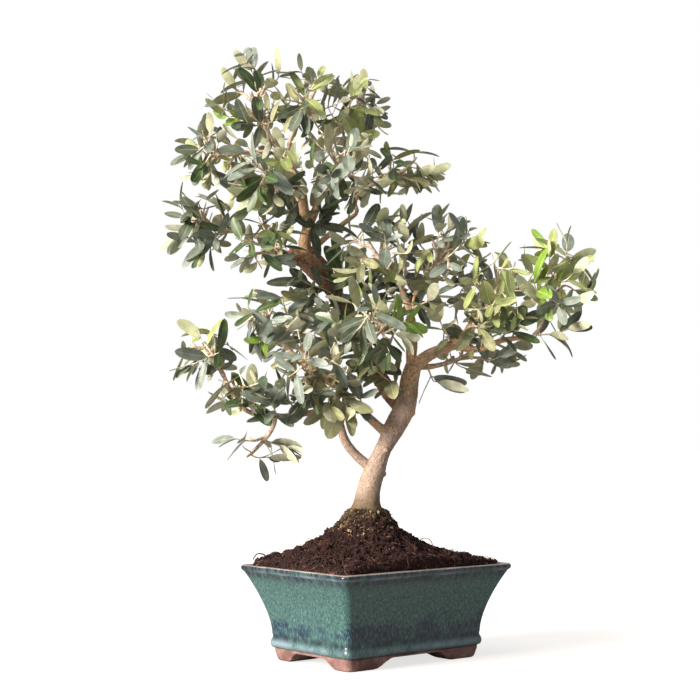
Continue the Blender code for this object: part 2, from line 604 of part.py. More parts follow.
def grow_shoots(index, seat, limbs_near, rng):
    """The stem from its seat into the mass, and shoots from the stem to all sides, as (start, end, start radius,
    end radius)."""
    start, along = seat
    centre, reach = CENTRES[index], REACHES[index]
    joint = start + along * STEM_BEND_AT * np.linalg.norm(centre - start)
    far = centre + STEM_OVERRUN * (centre - start)
    second = np.linalg.norm(far - joint)
    stem_way = unit(far - joint)
    again = joint - STEM_OVERLAP * STEM_RADIUS * stem_way
    shoots = [(start, joint, STEM_RADIUS, STEM_RADIUS), (again, far, STEM_RADIUS, STEM_TIP_RADIUS)]
    count = max(4, round(4 * math.pi * np.prod(reach) ** (2 / 3) / SHOOT_EVERY))
    for way in ball_directions(count, rng.uniform(0, math.tau)):
        target = centre + reach * way * rng.uniform(*SHOOT_REACH)
        forward = (1 + unit(target - centre) @ stem_way) / 2
        at = (SHOOT_FIRST + SHOOT_ROOM * forward) * second
        heading = unit(target - joint - stem_way * at)
        root = side_of_twig(*shoots[1], at / second, heading) - heading * SHOOT_SINK
        line = root + (target - root) * np.linspace(0.0, 1.0, SHOOT_STEPS)[:, None]
        free = in_space(index, line)
        stop = len(line) if free.all() else int(np.argmin(free))
        clear = not len(limbs_near[0]) or gaps_to(line[4:], *limbs_near) > LIMB_CLEARANCE + SHOOT_RADIUS
        if stop >= SHOOT_LEAST and clear:
            shoots.append((root, line[stop - 1], SHOOT_RADIUS, SHOOT_TIP_RADIUS))
    return shoots


def twig_axes(start, end):
    """A twig's own three axes: along it, to its side and up from that."""
    run = unit(end - start)
    side = unit(np.cross(run, NEARLY_UP))
    return run, side, np.cross(run, side)


def side_of_twig(start, end, thick, thin, share, heading):
    """The middle of whichever of the twig's three flat sides faces this heading."""
    _, side, up = twig_axes(start, end)
    facings = [math.cos(angle) * side + math.sin(angle) * up for angle in TWIG_FACES]
    flat = (thick + (thin - thick) * share) / 2
    return start + (end - start) * share + flat * max(facings, key=heading.dot)


def grow(index, seat, limbs):
    """One mass: its twigs as (start, end, start radius, end radius), and its leaves as (base, along, wide, length,
    width). A leaf that doesn't fit is turned, then shortened, and at last left out."""
    rng = random.Random(SEED + 31 * index)
    limbs_near = limb_pieces(limbs, CENTRES[index], REACHES[index])
    shoots = grow_shoots(index, seat, limbs_near, rng)
    leaves, placed = [], []
    for own, shoot in enumerate(shoots[1:], 1):
        run, side, up = twig_axes(*shoot[:2])
        turn = rng.uniform(0, math.tau)
        for order, (share, spread) in enumerate(zip(LEAF_PLACES, LEAF_SPREADS)):
            for half in (0.0, math.pi):
                for attempt in range(LEAF_TRIES):
                    angle = turn + order * math.pi / 2 + half + rng.uniform(-LEAF_TURN, LEAF_TURN) * attempt
                    tilt = math.radians(spread + rng.uniform(-LEAF_TILT, LEAF_TILT) * (1 + 0.3 * attempt))
                    out = math.cos(angle) * side + math.sin(angle) * up
                    way = unit(math.cos(tilt) * run + math.sin(tilt) * out)
                    face = math.sin(tilt) * run - math.cos(tilt) * out
                    face[2] += rng.uniform(0, LEAF_LIFT)
                    wide = unit(np.cross(unit(face), way))
                    length = LEAF_LENGTH * rng.uniform(0.88, 1.12) * (1 - LEAF_SHORTER * attempt)
                    width = LEAF_WIDTH * rng.uniform(0.9, 1.1)
                    base = side_of_twig(*shoot, share, out) - way * LEAF_SINK
                    points = leaf_points(base, way, wide, length, width)
                    if leaf_fits(points, index, limbs_near, shoots, own, placed):
                        leaves.append((base, way, wide, length, width))
                        placed.append(points)
                        break
    return shoots, leaves


def twig_mesh(name, start, end, start_radius, end_radius):
    """A three-sided tapering cone between two places."""
    run, side, up = twig_axes(start, end)
    axes = Matrix(np.stack([side, up, run], axis=1).tolist()).to_4x4()
    place = Matrix.Translation(Vector((start + end) / 2)) @ axes
    body = bmesh.new()
    bmesh.ops.create_cone(
        body, cap_ends=True, segments=3, radius1=start_radius, radius2=end_radius,
        depth=float(np.linalg.norm(end - start)), matrix=place)
    mesh = bpy.data.meshes.new(name)
    body.to_mesh(mesh)
    body.free()
    return mesh


def leaf_mesh(name, base, along, wide, length, width):
    """A leaf of eight faces: a ball of four sides and two rows, drawn out along the leaf and pressed flat."""
    axes = Matrix(np.stack([np.cross(wide, along), wide, along], axis=1).tolist()).to_4x4()
    size = Matrix.Diagonal((LEAF_THICKNESS / 2, width / 2, length / 2, 1.0))
    place = Matrix.Translation(Vector(base + along * length / 2)) @ axes @ size
    body = bmesh.new()
    bmesh.ops.create_uvsphere(body, u_segments=4, v_segments=2, radius=1.0, matrix=place)
    mesh = bpy.data.meshes.new(name)
    body.to_mesh(mesh)
    body.free()
    return mesh


def shells_of(body):
    """The separate shells of a mesh, as (volume, vertices)."""
    unseen, shells = set(body.verts), []
    while unseen:
        todo, shell = [unseen.pop()], set()
        while todo:
            vert = todo.pop()
            shell.add(vert)
            for edge in vert.link_edges:
                other = edge.other_vert(vert)
                if other in unseen:
                    unseen.remove(other)
                    todo.append(other)
        faces = {face for vert in shell for face in vert.link_faces}
        volume = sum(face.verts[0].co.dot(face.verts[1].co.cross(face.verts[2].co)) for face in faces) / 6
        shells.append((volume, shell))
    return shells


def whole_body(mesh):
    """Keeps the one outer shell: a loose scrap is dropped, and a hollow that the leaves close in is filled. Tells
    whether the shell is closed."""
    body = bmesh.new()
    body.from_mesh(mesh)
    bmesh.ops.triangulate(body, faces=body.faces)
    outer = max(shells_of(body), key=lambda item: item[0])[1]
    bmesh.ops.delete(body, geom=[vert for vert in body.verts if vert not in outer], context="VERTS")
    closed = all(edge.is_manifold for edge in body.edges)
    body.to_mesh(mesh)
    body.free()
    return closed


def make_mass(index, twigs, leaves, parts, green, tree):
    """Joins the mass's twigs and leaves into one solid."""
    name = MASS_NAMES[index]
    pieces = new_collection(name + "_pieces")
    base = mesh_object(name, twig_mesh(name, *twigs[0]), green, parts)
    for i, twig in enumerate(twigs[1:]):
        mesh_object(f"{name}_twig_{i}", twig_mesh("twig", *twig), green, pieces)
    for i, leaf in enumerate(leaves):
        mesh_object(f"{name}_leaf_{i}", leaf_mesh("leaf", *leaf), green, pieces)
    union = base.modifiers.new("join", "BOOLEAN")
    union.operation, union.operand_type, union.collection = "UNION", "COLLECTION", pieces
    for solver in ("EXACT", "MANIFOLD"):
        union.solver = solver
        bpy.context.view_layer.update()
        graph = bpy.context.evaluated_depsgraph_get()
        joined = bpy.data.meshes.new_from_object(base.evaluated_get(graph))
        if whole_body(joined):
            break
    base.modifiers.clear()
    base.data = joined
    joined.name = name
    for obj in list(pieces.objects):
        bpy.data.objects.remove(obj)
    bpy.data.collections.remove(pieces)
    base.parent = tree
    print(f"{name}: {len(twigs)} twigs, {len(leaves)} leaves, {len(joined.polygons)} faces, joined by {solver}")
    return len(leaves)


# ---------------------------------------------------------------- the whole plant
def main():
    clear_scene()
    parts = new_collection("olive_bonsai")
    cutters = new_collection("cutters")
    glaze = new_material("green_glaze", (0.045, 0.145, 0.115), 0.22)
    clay = new_material("bare_clay", (0.19, 0.085, 0.065), 0.8)
    earth = new_material("peat_soil", (0.035, 0.018, 0.012), 0.95)
    barks = {
        "young": new_material("olive_bark", (0.36, 0.24, 0.16), 0.85),
        "old": new_material("old_bark", (0.24, 0.13, 0.085), 0.9),
    }
    green = new_material("olive_leaves", (0.075, 0.11, 0.065), 0.5)

    tree = bpy.data.objects.new("tree_front", None)
    parts.objects.link(tree)
    tree.location = POT_PLACE
    tree.rotation_euler.z = TREE_TURN
    bpy.context.view_layer.update()

    make_pot(parts, cutters, glaze)
    make_foot_ring(parts, cutters, clay)
    make_soil(parts, earth, tree.matrix_world)
    limbs, seats = lay_out_limbs()
    make_limbs(limbs, parts, cutters, barks, tree)
    total = 0
    for index in range(len(MASS_NAMES)):
        twigs, leaves = grow(index, seats[index], limbs)
        total += make_mass(index, twigs, leaves, parts, green, tree)
    print("leaves in all:", total)


main()
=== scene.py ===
# %% [markdown]
# # An olive bonsai in a glazed pot
# The frame holds the plain solids: a pot, its foot ring, the soil, the limbs and the masses of foliage.
# This script dresses them. The pot gets its glaze, the feet their bare clay, the soil its crumbs and
# fibres, the limbs one skin of bark, and each mass of foliage is grown again, with finer twigs and leaves
# at their real size.

# %% Load the frame
import math
import random

import bmesh
import bpy
import numpy as np
from mathutils import Matrix, Vector, noise


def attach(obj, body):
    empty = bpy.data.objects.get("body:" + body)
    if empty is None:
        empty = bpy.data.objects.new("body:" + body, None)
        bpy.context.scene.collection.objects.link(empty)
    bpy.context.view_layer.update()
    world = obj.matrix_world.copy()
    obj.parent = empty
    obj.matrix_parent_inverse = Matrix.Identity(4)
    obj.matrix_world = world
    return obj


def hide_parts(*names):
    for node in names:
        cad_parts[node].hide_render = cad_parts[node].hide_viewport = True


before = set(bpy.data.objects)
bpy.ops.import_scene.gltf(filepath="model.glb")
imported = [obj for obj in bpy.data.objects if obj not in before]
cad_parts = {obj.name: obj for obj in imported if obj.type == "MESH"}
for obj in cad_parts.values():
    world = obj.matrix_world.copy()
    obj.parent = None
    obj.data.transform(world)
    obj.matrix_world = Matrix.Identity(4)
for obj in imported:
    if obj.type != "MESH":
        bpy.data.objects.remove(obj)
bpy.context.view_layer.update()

scene = bpy.context.scene

# %% [markdown]
# ## Two directions
# The pot stands square to the axes, but the tree is planted with its best side turned 41 degrees away from
# the pot's long side. All of the tree is worked out in its own directions, across, back and up, and one
# matrix puts it in the pot.

# %% Where the pot and the tree stand
POT_PLACE = Vector((-0.0055, 0.0, 0.0))
TREE_TURN = math.radians(-41.0)
TREE_PLACE = Matrix.Translation(POT_PLACE) @ Matrix.Rotation(TREE_TURN, 4, "Z")
across, back = TREE_PLACE.to_3x3() @ Vector((1, 0, 0)), TREE_PLACE.to_3x3() @ Vector((0, 1, 0))
print("across", [round(x, 3) for x in across], "back", [round(x, 3) for x in back])

# %% [markdown]
# ## Camera and light
# A bonsai is looked at from its best side and level with its trunk. A long lens from 1.8 m away keeps the
# pot's corners upright.

# %% Camera
CAMERA_AWAY, CAMERA_HEIGHT = 1.7945, 0.2573
AIM_ACROSS, AIM_HEIGHT = -0.0290, 0.3344
LENS, FILM_WIDTH = 84.55, 36.0
camera = bpy.data.objects.new("camera", bpy.data.cameras.new("camera"))
scene.collection.objects.link(camera)
camera.data.lens, camera.data.sensor_width = LENS, FILM_WIDTH
camera.location = POT_PLACE - back * CAMERA_AWAY + Vector((0, 0, CAMERA_HEIGHT))
aim = POT_PLACE + across * AIM_ACROSS + Vector((0, 0, AIM_HEIGHT))
camera.rotation_euler = (aim - camera.location).to_track_quat("-Z", "Y").to_euler()
scene.camera = camera
scene.view_settings.view_transform = "Standard"
print("camera", [round(x, 3) for x in camera.location])


# %% [markdown]
# Every material and every node tree below is put together with a few small functions. One adds a node with
# its settings, one fills a node's sockets with a value or with another node's output, and one starts a
# material. Colours are written as they look on a screen, and one function turns them into what a shader
# reads.

# %% A node, its settings and its links
def linear(colour):
    """An sRGB hex colour as the linear colour that a shader reads."""
    parts = [int(colour[i:i + 2], 16) / 255 for i in (1, 3, 5)]
    return (*[part / 12.92 if part <= 0.04045 else ((part + 0.055) / 1.055) ** 2.4 for part in parts], 1.0)


def fill(node, inputs):
    """Give each named socket its value, or a link from another node's output."""
    for name, value in inputs.items():
        if isinstance(value, bpy.types.NodeSocket):
            node.id_data.links.new(value, node.inputs[name])
        else:
            node.inputs[name].default_value = value


def add(tree, kind, inputs=(), stops=(), **settings):
    """A new node of this kind. Only a colour ramp has stops, as (place, colour)."""
    node = tree.nodes.new(kind)
    for name, value in settings.items():
        setattr(node, name, value)
    fill(node, dict(inputs))
    for _ in stops[2:]:
        node.color_ramp.elements.new(0.5)
    for i, (place, colour) in enumerate(stops):
        node.color_ramp.elements[i].position = place
        node.color_ramp.elements[i].color = linear(colour)
    return node


def new_material(name):
    """A material, its node tree and its shader."""
    material = bpy.data.materials.new(name)
    material.use_nodes = True
    return material, material.node_tree, material.node_tree.nodes["Principled BSDF"]


print("half-way grey is", round(linear("#808080")[0], 3), "to a shader")

# %% [markdown]
# One broad sun from the front left models the leaves, a weaker and softer one from above opens the tops and
# the soil, and a white room does the rest. The room lights the tree at a third of its strength, but the
# camera sees it fully white.

# %% Light
ROOM_LIGHT = 0.34


def sun(name, way, strength, softness, colour):
    """A sun that shines this way. Softness is how wide it looks, in degrees."""
    lamp = bpy.data.lights.new(name, "SUN")
    lamp.energy, lamp.angle, lamp.color = strength, math.radians(softness), linear(colour)[:3]
    lit = bpy.data.objects.new(name, lamp)
    lit.rotation_euler = way.to_track_quat("-Z", "Y").to_euler()
    scene.collection.objects.link(lit)


sun("key", across * 0.80 + back * 0.62 - Vector((0, 0, 0.30)), 7.8, 24, "#fff6ea")
sun("top", across * 0.50 + back * 0.20 - Vector((0, 0, 1.0)), 1.5, 50, "#fffaf3")
world = bpy.data.worlds.new("white_room")
world.use_nodes = True
scene.world = world
sky = world.node_tree
seen = add(sky, "ShaderNodeLightPath").outputs["Is Camera Ray"]
strength = add(sky, "ShaderNodeMapRange", {
    "Value": seen, "To Min": ROOM_LIGHT, "To Max": 1.0}).outputs["Result"]
fill(sky.nodes["Background"], {"Color": linear("#ffffff"), "Strength": strength})
print("lights", [lamp.name for lamp in bpy.data.lights])

# %% [markdown]
# The tree stands on a sheet of white paper. Paper in a shadow would look grey against the room, so it gives
# a little light of its own to the camera and keeps only a faint shadow.

# %% White paper
PAPER_RADIUS, PAPER_GLOW = 12.0, 0.73


def shown(name, mesh, *materials):
    """An object at the origin, with its place in its mesh."""
    for material in materials:
        mesh.materials.append(material)
    made = bpy.data.objects.new(name, mesh)
    scene.collection.objects.link(made)
    return made


def mesh_from(body, name):
    """A plain mesh from a bmesh, which is freed."""
    mesh = bpy.data.meshes.new(name)
    body.to_mesh(mesh)
    body.free()
    return mesh


paper, tree, shader = new_material("white_paper")
seen = add(tree, "ShaderNodeLightPath").outputs["Is Camera Ray"]
glow = add(tree, "ShaderNodeMath", {0: seen, 1: PAPER_GLOW}, operation="MULTIPLY").outputs[0]
fill(shader, {
    "Base Color": linear("#a3a09e"), "Roughness": 0.9, "Emission Color": linear("#fffdfb"),
    "Emission Strength": glow})
sheet = bmesh.new()
bmesh.ops.create_circle(sheet, cap_ends=True, segments=64, radius=PAPER_RADIUS)
floor = shown("floor", mesh_from(sheet, "floor"), paper)
print("paper", 2 * PAPER_RADIUS, "m across")


# %% [markdown]
# ## The pot
# The real pot is slip-cast or pressed stoneware: an upright neck over a bead, a wall that flares to a
# rolled lip, and rounded corners. Such a form is a loft. One outline, a rectangle with arcs for corners, is
# repeated up the wall, each time with its own outset from the bead. The outline has a point every few
# millimetres, so that the wall can wander a little, as a fired wall does, and so that the gloss shows it.

# %% Outlines of the pot
BEAD_LENGTH, BEAD_DEPTH, CORNER_RADIUS = 0.194, 0.134, 0.007
BODY_FOOT, NECK_HEIGHT, LIP_FOOT, POT_HEIGHT = 0.0136, 0.0290, 0.0955, 0.102
RIM_OUTSET, NECK_OUTSET, LIP_OVERHANG, RIM_WIDTH = 0.023, -0.0012, 0.0022, 0.009
WALL, POT_FLOOR, FLARE_POWER = 0.007, 0.008, 1.6


def outline(outset, height, spacing=0.004, corner_steps=10):
    """Points round the pot at this height, this far outside the bead, from +X anticlockwise."""
    half_x, half_y = BEAD_LENGTH / 2 + outset, BEAD_DEPTH / 2 + outset
    points = []
    for corner, (sx, sy) in enumerate(((1, 1), (-1, 1), (-1, -1), (1, -1))):
        centre = np.array((sx * (half_x - CORNER_RADIUS), sy * (half_y - CORNER_RADIUS)))
        for step in range(corner_steps + 1):
            angle = (corner + step / corner_steps) * math.pi / 2
            points.append(centre + CORNER_RADIUS * np.array((math.cos(angle), math.sin(angle))))
        straight = (BEAD_LENGTH if corner % 2 == 0 else BEAD_DEPTH) - 2 * CORNER_RADIUS
        count = round(straight / spacing)
        along = np.array(((-1, 0), (0, -1), (1, 0), (0, 1))[corner])
        run = 2 * ((half_x if corner % 2 == 0 else half_y) - CORNER_RADIUS)
        start = points[-1]
        points += [start + along * run * i / count for i in range(1, count)]
    return np.array([(x, y, height) for x, y in points])


def wall_outset(height):
    share = max(0.0, (height - NECK_HEIGHT) / (LIP_FOOT - NECK_HEIGHT))
    return NECK_OUTSET + (RIM_OUTSET - LIP_OVERHANG - NECK_OUTSET) * share**FLARE_POWER


def closed_loft(name, rings, place=POT_PLACE):
    """A closed mesh through the rings, lowest first, moved to its place."""
    count, rows = len(rings[0]), len(rings)
    points = np.concatenate(rings) + np.array(place)
    faces = []
    for row in range(rows - 1):
        for i in range(count):
            j = (i + 1) % count
            faces.append((row * count + i, row * count + j, (row + 1) * count + j, (row + 1) * count + i))
    faces += [tuple(range(count))[::-1], tuple(range((rows - 1) * count, rows * count))]
    mesh = bpy.data.meshes.new(name)
    mesh.from_pydata(points.tolist(), [], faces)
    return mesh


print("pot", BEAD_LENGTH + 2 * RIM_OUTSET, "by", BEAD_DEPTH + 2 * RIM_OUTSET, "m over the lip")


# %% [markdown]
# Nothing here is quite even, neither clay nor soil nor bark. Each gets noise of a few sizes laid over each
# other, and one function adds them up.

# %% Noise in layers
def noise_at(points, size, seed):
    """Smooth noise between about -1 and 1 at each point, with lumps of this size."""
    shift = Vector((17.3, -9.1, 5.7)) * seed
    return np.array([noise.noise(Vector(point) / size + shift) for point in points.tolist()])


def layered(points, *layers):
    """The sum of layers of noise, each given as (height, size of its lumps, seed)."""
    return sum(height * noise_at(points, size, seed) for height, size, seed in layers)


print("noise at three points", layered(np.eye(3), (1.0, 0.3, 1), (0.5, 0.1, 2)).round(2))

# %% [markdown]
# Each row of the profile is an outset and a height. It goes up the outside, over the bead, the neck, the
# flared wall and the roll of the lip, then over the rim and down inside to the floor. Between bead and rim
# the wall wanders by a third of a millimetre.

# %% The bead, wall, lip and cavity
profile = [(-0.0030, BODY_FOOT), (-0.0012, 0.0146), (-0.0003, 0.0163), (0.0, 0.0186), (-0.0002, 0.0207)]
profile += [(-0.0007, 0.0228), (-0.0016, 0.0246), (-0.0017, 0.0265)]
profile += [(wall_outset(height), height) for height in np.linspace(NECK_HEIGHT, LIP_FOOT - 0.0006, 24)]
profile += [(RIM_OUTSET - 0.0017, LIP_FOOT + 0.0001), (RIM_OUTSET - 0.0006, LIP_FOOT + 0.0012)]
profile += [(RIM_OUTSET, LIP_FOOT + 0.0030), (RIM_OUTSET - 0.0001, LIP_FOOT + 0.0046)]
profile += [(RIM_OUTSET - 0.0007, POT_HEIGHT - 0.0006), (RIM_OUTSET - 0.0018, POT_HEIGHT)]
profile += [(RIM_OUTSET - 0.0045, POT_HEIGHT - 0.0002), (RIM_OUTSET - RIM_WIDTH + 0.001, POT_HEIGHT - 0.0003)]
profile += [(RIM_OUTSET - RIM_WIDTH, POT_HEIGHT - 0.0016)]
rings = [outline(*place) for place in profile]
CAVITY_ROWS, BEAD_ROWS = 8, 3
for height in np.linspace(LIP_FOOT, BODY_FOOT + POT_FLOOR, CAVITY_ROWS):
    rings.append(outline(wall_outset(height) - WALL, height))
for ring in rings[BEAD_ROWS:-CAVITY_ROWS]:
    wander = layered(ring, (0.00035, 0.045, 1), (0.00012, 0.012, 2))
    lengths = np.linalg.norm(ring[:, :2], axis=1)
    ring[:, :2] *= (1 + wander / lengths)[:, None]
    ring[:, 2] += layered(ring, (0.0003, 0.05, 3)) * (ring[:, 2] > LIP_FOOT)
pot_mesh = closed_loft("glazed_pot", rings)
print("pot wall", len(rings), "rings of", len(rings[0]), "points")


# %% [markdown]
# A glaze is a thin glass. It runs down the wall while it melts, which leaves upright streaks of a lighter
# and a bluer green, it thins on edges, where the brown body shows through, and it pools dark under the lip
# and over the bead. Where it is thin can't be read from a place, so each point of the mesh keeps that as an
# attribute named thin, worked out from the profile and from how near a corner is. Two more say where it
# pooled, and where the bead has pale patches and the lip's roll gets a painted reflection of the floor.

# %% Where the glaze is thin, pooled or pale
BEAD_MIDDLE, CORNER_SPREAD = 0.0186, 0.0035


def keep(mesh, name, values, kind="FLOAT", domain="POINT"):
    """Store a value for each point, or each face, of the mesh as a named attribute."""
    attribute = mesh.attributes.new(name, kind, domain)
    flat = np.asarray(values, np.int32 if kind == "INT" else np.float32).ravel()
    attribute.data.foreach_set("vector" if kind == "FLOAT_VECTOR" else "value", flat)


def mesh_points(mesh, what="co"):
    flat = np.zeros(len(mesh.vertices) * 3, np.float32)
    mesh.vertices.foreach_get(what, flat)
    return flat.reshape(-1, 3).astype(float)


def distance_to_corner(points):
    off = np.abs(points[:, :2] - np.array(POT_PLACE)[:2])
    share = np.clip((points[:, 2] - NECK_HEIGHT) / (LIP_FOOT - NECK_HEIGHT), 0, 1) ** FLARE_POWER
    half = np.stack([BEAD_LENGTH / 2 + RIM_OUTSET * share, BEAD_DEPTH / 2 + RIM_OUTSET * share], axis=1)
    return np.linalg.norm(half - off, axis=1)


points = mesh_points(pot_mesh)
heights = points[:, 2]


def band(middle, spread):
    """1 at this height of the pot, fading to nothing over the spread."""
    return np.exp(-(((heights - middle) / spread) ** 2))


corner = np.exp(-((distance_to_corner(points) / CORNER_SPREAD) ** 2)) * (heights > NECK_HEIGHT)
keep(pot_mesh, "thin", np.maximum(band(POT_HEIGHT - 0.0003, 0.0007), 0.35 * corner))
on_lip = 0.8 * (heights > LIP_FOOT - 0.0004)
under_lip, over_bead = 0.95 * band(LIP_FOOT - 0.001, 0.0060), 0.8 * band(NECK_HEIGHT - 0.003, 0.0038)
keep(pot_mesh, "pooled", np.maximum(np.maximum(on_lip, under_lip), over_bead))
# The wide band marks the bead's pale patches. The narrow band on the lip's roll is a painted reflection of
# the floor.
keep(pot_mesh, "on_bead", np.maximum(band(BEAD_MIDDLE, 0.0040), 1.3 * band(LIP_FOOT + 0.0006, 0.0008)))
print("attributes", [attribute.name for attribute in pot_mesh.attributes if attribute.name[0] != "."])

# %% [markdown]
# The glaze was poured over the pot and fired to a glossy teal. Its pattern is noise at four sizes: fine
# streaks and wider runs, both drawn out downwards by a Mapping node, clouds as wide as a thumb, and specks.
# Real specks are a few tenths of a millimetre. They are drawn at 1.1 mm, or they wouldn't show.

# %% Streaks, runs, clouds and specks
STREAK_WIDTH, STREAK_LENGTH, RUN_WIDTH, RUN_LENGTH = 0.0012, 0.0055, 0.0050, 0.018
CLOUD_SIZE, SPECK_SIZE = 0.030, 0.0011
glaze, tree, shader = new_material("glazed_stoneware")
place = add(tree, "ShaderNodeTexCoord").outputs["Object"]
drawn = add(tree, "ShaderNodeMapping", {"Vector": place, "Scale": (1, 1, STREAK_WIDTH / STREAK_LENGTH)})
streaks = add(tree, "ShaderNodeTexNoise", {
    "Vector": drawn.outputs["Vector"], "Scale": 1 / STREAK_WIDTH, "Detail": 3.0,
    "Roughness": 0.52}).outputs["Fac"]
drawn = add(tree, "ShaderNodeMapping", {"Vector": place, "Scale": (1, 1, RUN_WIDTH / RUN_LENGTH)})
runs = add(tree, "ShaderNodeTexNoise", {
    "Vector": drawn.outputs["Vector"], "Scale": 1 / RUN_WIDTH, "Detail": 3.0}).outputs["Fac"]
clouds = add(tree, "ShaderNodeTexNoise", {
    "Vector": place, "Scale": 1 / CLOUD_SIZE, "Detail": 3.0, "Roughness": 0.55}).outputs["Fac"]
specks = add(tree, "ShaderNodeTexNoise", {
    "Vector": place, "Scale": 1 / SPECK_SIZE, "Detail": 2.0, "Roughness": 0.7}).outputs["Fac"]
print("streaks", round(STREAK_LENGTH / STREAK_WIDTH, 1), "times as long as wide")

# %% [markdown]
# The wall is green, and low down a second, navy glaze has run into the first. How far a place is from the
# band's height decides which of two colour ramps it takes, and the clouds push the band's edge up and down.
# Both ramps read the same streaks, so that the streaks run on through the band.

# %% Green wall with a navy band
NAVY_HEIGHT, NAVY_SPREAD = 0.036, 0.013
greens = add(tree, "ShaderNodeValToRGB", {"Fac": streaks}, stops=[
    (0.34, "#294246"), (0.47, "#365455"), (0.58, "#436863"), (0.70, "#5f847f")])
navies = add(tree, "ShaderNodeValToRGB", {"Fac": streaks}, stops=[
    (0.36, "#151f2e"), (0.48, "#1e3244"), (0.58, "#2e4d58"), (0.70, "#4e757a")])
height = add(tree, "ShaderNodeSeparateXYZ", {"Vector": place}).outputs["Z"]
off = add(tree, "ShaderNodeMath", {0: height, 1: NAVY_HEIGHT}, operation="SUBTRACT").outputs[0]
off = add(tree, "ShaderNodeMath", {0: off, 1: NAVY_SPREAD}, operation="DIVIDE").outputs[0]
off = add(tree, "ShaderNodeMath", {0: off}, operation="ABSOLUTE").outputs[0]
uneven = add(tree, "ShaderNodeMapRange", {
    "Value": clouds, "From Min": 0.35, "From Max": 0.65, "To Min": -0.8, "To Max": 0.7}).outputs["Result"]
off = add(tree, "ShaderNodeMath", {0: off, 1: uneven}, operation="SUBTRACT").outputs[0]
blue = add(tree, "ShaderNodeMapRange", {
    "Value": off, "From Min": 1.1, "From Max": 0.1}, interpolation_type="SMOOTHSTEP").outputs["Result"]
body = add(tree, "ShaderNodeMix", {
    "Factor": blue, "A": greens.outputs[0], "B": navies.outputs[0]}, data_type="RGBA")
speckled = add(tree, "ShaderNodeValToRGB", {"Fac": specks}, stops=[
    (0.62, "#000000"), (0.78, "#484848")])
dusted = add(tree, "ShaderNodeMix", {
    "Factor": speckled.outputs[0], "A": body.outputs["Result"], "B": linear("#7f9f92")}, data_type="RGBA")
print("navy from", *[round(NAVY_HEIGHT + side * NAVY_SPREAD, 3) for side in (-1, 1)], "m up")

# %% [markdown]
# The three attributes come in here. Each is broken up by a noise before it mixes its colour in, because a
# glaze never pools or thins in a straight line. The pale one is the bead's patches and the painted
# reflection of the floor along the lip's roll.

# %% Pooled dark, pale bead, painted reflection on the lip's roll and thin edges
pooled = add(tree, "ShaderNodeAttribute", attribute_name="pooled").outputs["Fac"]
broken = add(tree, "ShaderNodeMapRange", {
    "Value": runs, "From Min": 0.36, "From Max": 0.60, "To Min": 0.35, "To Max": 1.15}).outputs["Result"]
pooled = add(tree, "ShaderNodeMath", {
    0: pooled, 1: broken}, operation="MULTIPLY", use_clamp=True).outputs[0]
dark = add(tree, "ShaderNodeMix", {
    "Factor": pooled, "A": dusted.outputs["Result"], "B": linear("#141d2b")}, data_type="RGBA")
pale_patches_and_reflection = add(tree, "ShaderNodeAttribute", attribute_name="on_bead").outputs["Fac"]
mottled = add(tree, "ShaderNodeMix", {
    "Factor": 0.35, "A": clouds, "B": specks}, data_type="FLOAT").outputs[0]
patches = add(tree, "ShaderNodeMapRange", {
    "Value": mottled, "From Min": 0.40, "From Max": 0.62, "To Min": 0.0, "To Max": 0.85}).outputs["Result"]
pale_patches_and_reflection = add(tree, "ShaderNodeMath", {0: pale_patches_and_reflection, 1: patches}, operation="MULTIPLY").outputs[0]
# Pale lavender-grey goes onto the bead's patches and, as a painted reflection of the floor, onto the lip's
# roll.
pale = add(tree, "ShaderNodeMix", {
    "Factor": pale_patches_and_reflection, "A": dark.outputs["Result"], "B": linear("#8496a4")}, data_type="RGBA")
thin = add(tree, "ShaderNodeAttribute", attribute_name="thin").outputs["Fac"]
ragged = add(tree, "ShaderNodeMath", {0: clouds, 1: streaks}, operation="ADD").outputs[0]
thin = add(tree, "ShaderNodeMath", {0: thin, 1: ragged}, operation="MULTIPLY").outputs[0]
thin = add(tree, "ShaderNodeMapRange", {"Value": thin, "From Min": 0.45, "From Max": 1.0}).outputs["Result"]
colour = add(tree, "ShaderNodeMix", {
    "Factor": thin, "A": pale.outputs["Result"], "B": linear("#ad9d98")}, data_type="RGBA")
print("colour of the glaze", len(tree.nodes), "nodes")

# %% [markdown]
# Fired glass gives a clear, slightly wavy gloss. It is duller in clouds, on the bead's pale patches and
# along the lip's painted reflection, the streaks stand up by a tenth of a millimetre, and a thin coat
# gives the sharper highlight on top.

# %% Gloss of the glaze
gloss = add(tree, "ShaderNodeMapRange", {"Value": clouds, "To Min": 0.24, "To Max": 0.38}).outputs["Result"]
gloss = add(tree, "ShaderNodeMath", {0: pale_patches_and_reflection, 1: 0.4, 2: gloss}, operation="MULTIPLY_ADD").outputs[0]
bump = add(tree, "ShaderNodeBump", {"Height": streaks, "Strength": 0.25, "Distance": 0.0004})
fill(shader, {
    "Base Color": colour.outputs["Result"], "Roughness": gloss, "Normal": bump.outputs["Normal"], "IOR": 1.52,
    "Coat Weight": 0.15, "Coat Roughness": 0.16})
print("glaze", len(tree.nodes), "nodes")

# %% [markdown]
# A bonsai pot has drain holes in its floor. Two short cylinders are cut through by a Boolean modifier,
# which is turned into plain mesh at once.

# %% Drain holes
DRAIN_RADIUS, DRAIN_SPACING, SHARP_FROM = 0.009, 0.090, 70


def baked(piece):
    """The piece with its modifiers turned into plain mesh."""
    bpy.context.view_layer.update()
    mesh = bpy.data.meshes.new_from_object(piece.evaluated_get(bpy.context.evaluated_depsgraph_get()))
    piece.modifiers.clear()
    mesh.name, piece.data = piece.name, mesh
    return piece


def cut(piece, shape):
    """Take this closed shape out of the piece."""
    cutter = shown("cutter", shape)
    boolean = piece.modifiers.new("cut", "BOOLEAN")
    boolean.operation, boolean.object = "DIFFERENCE", cutter
    baked(piece)
    bpy.data.objects.remove(cutter)


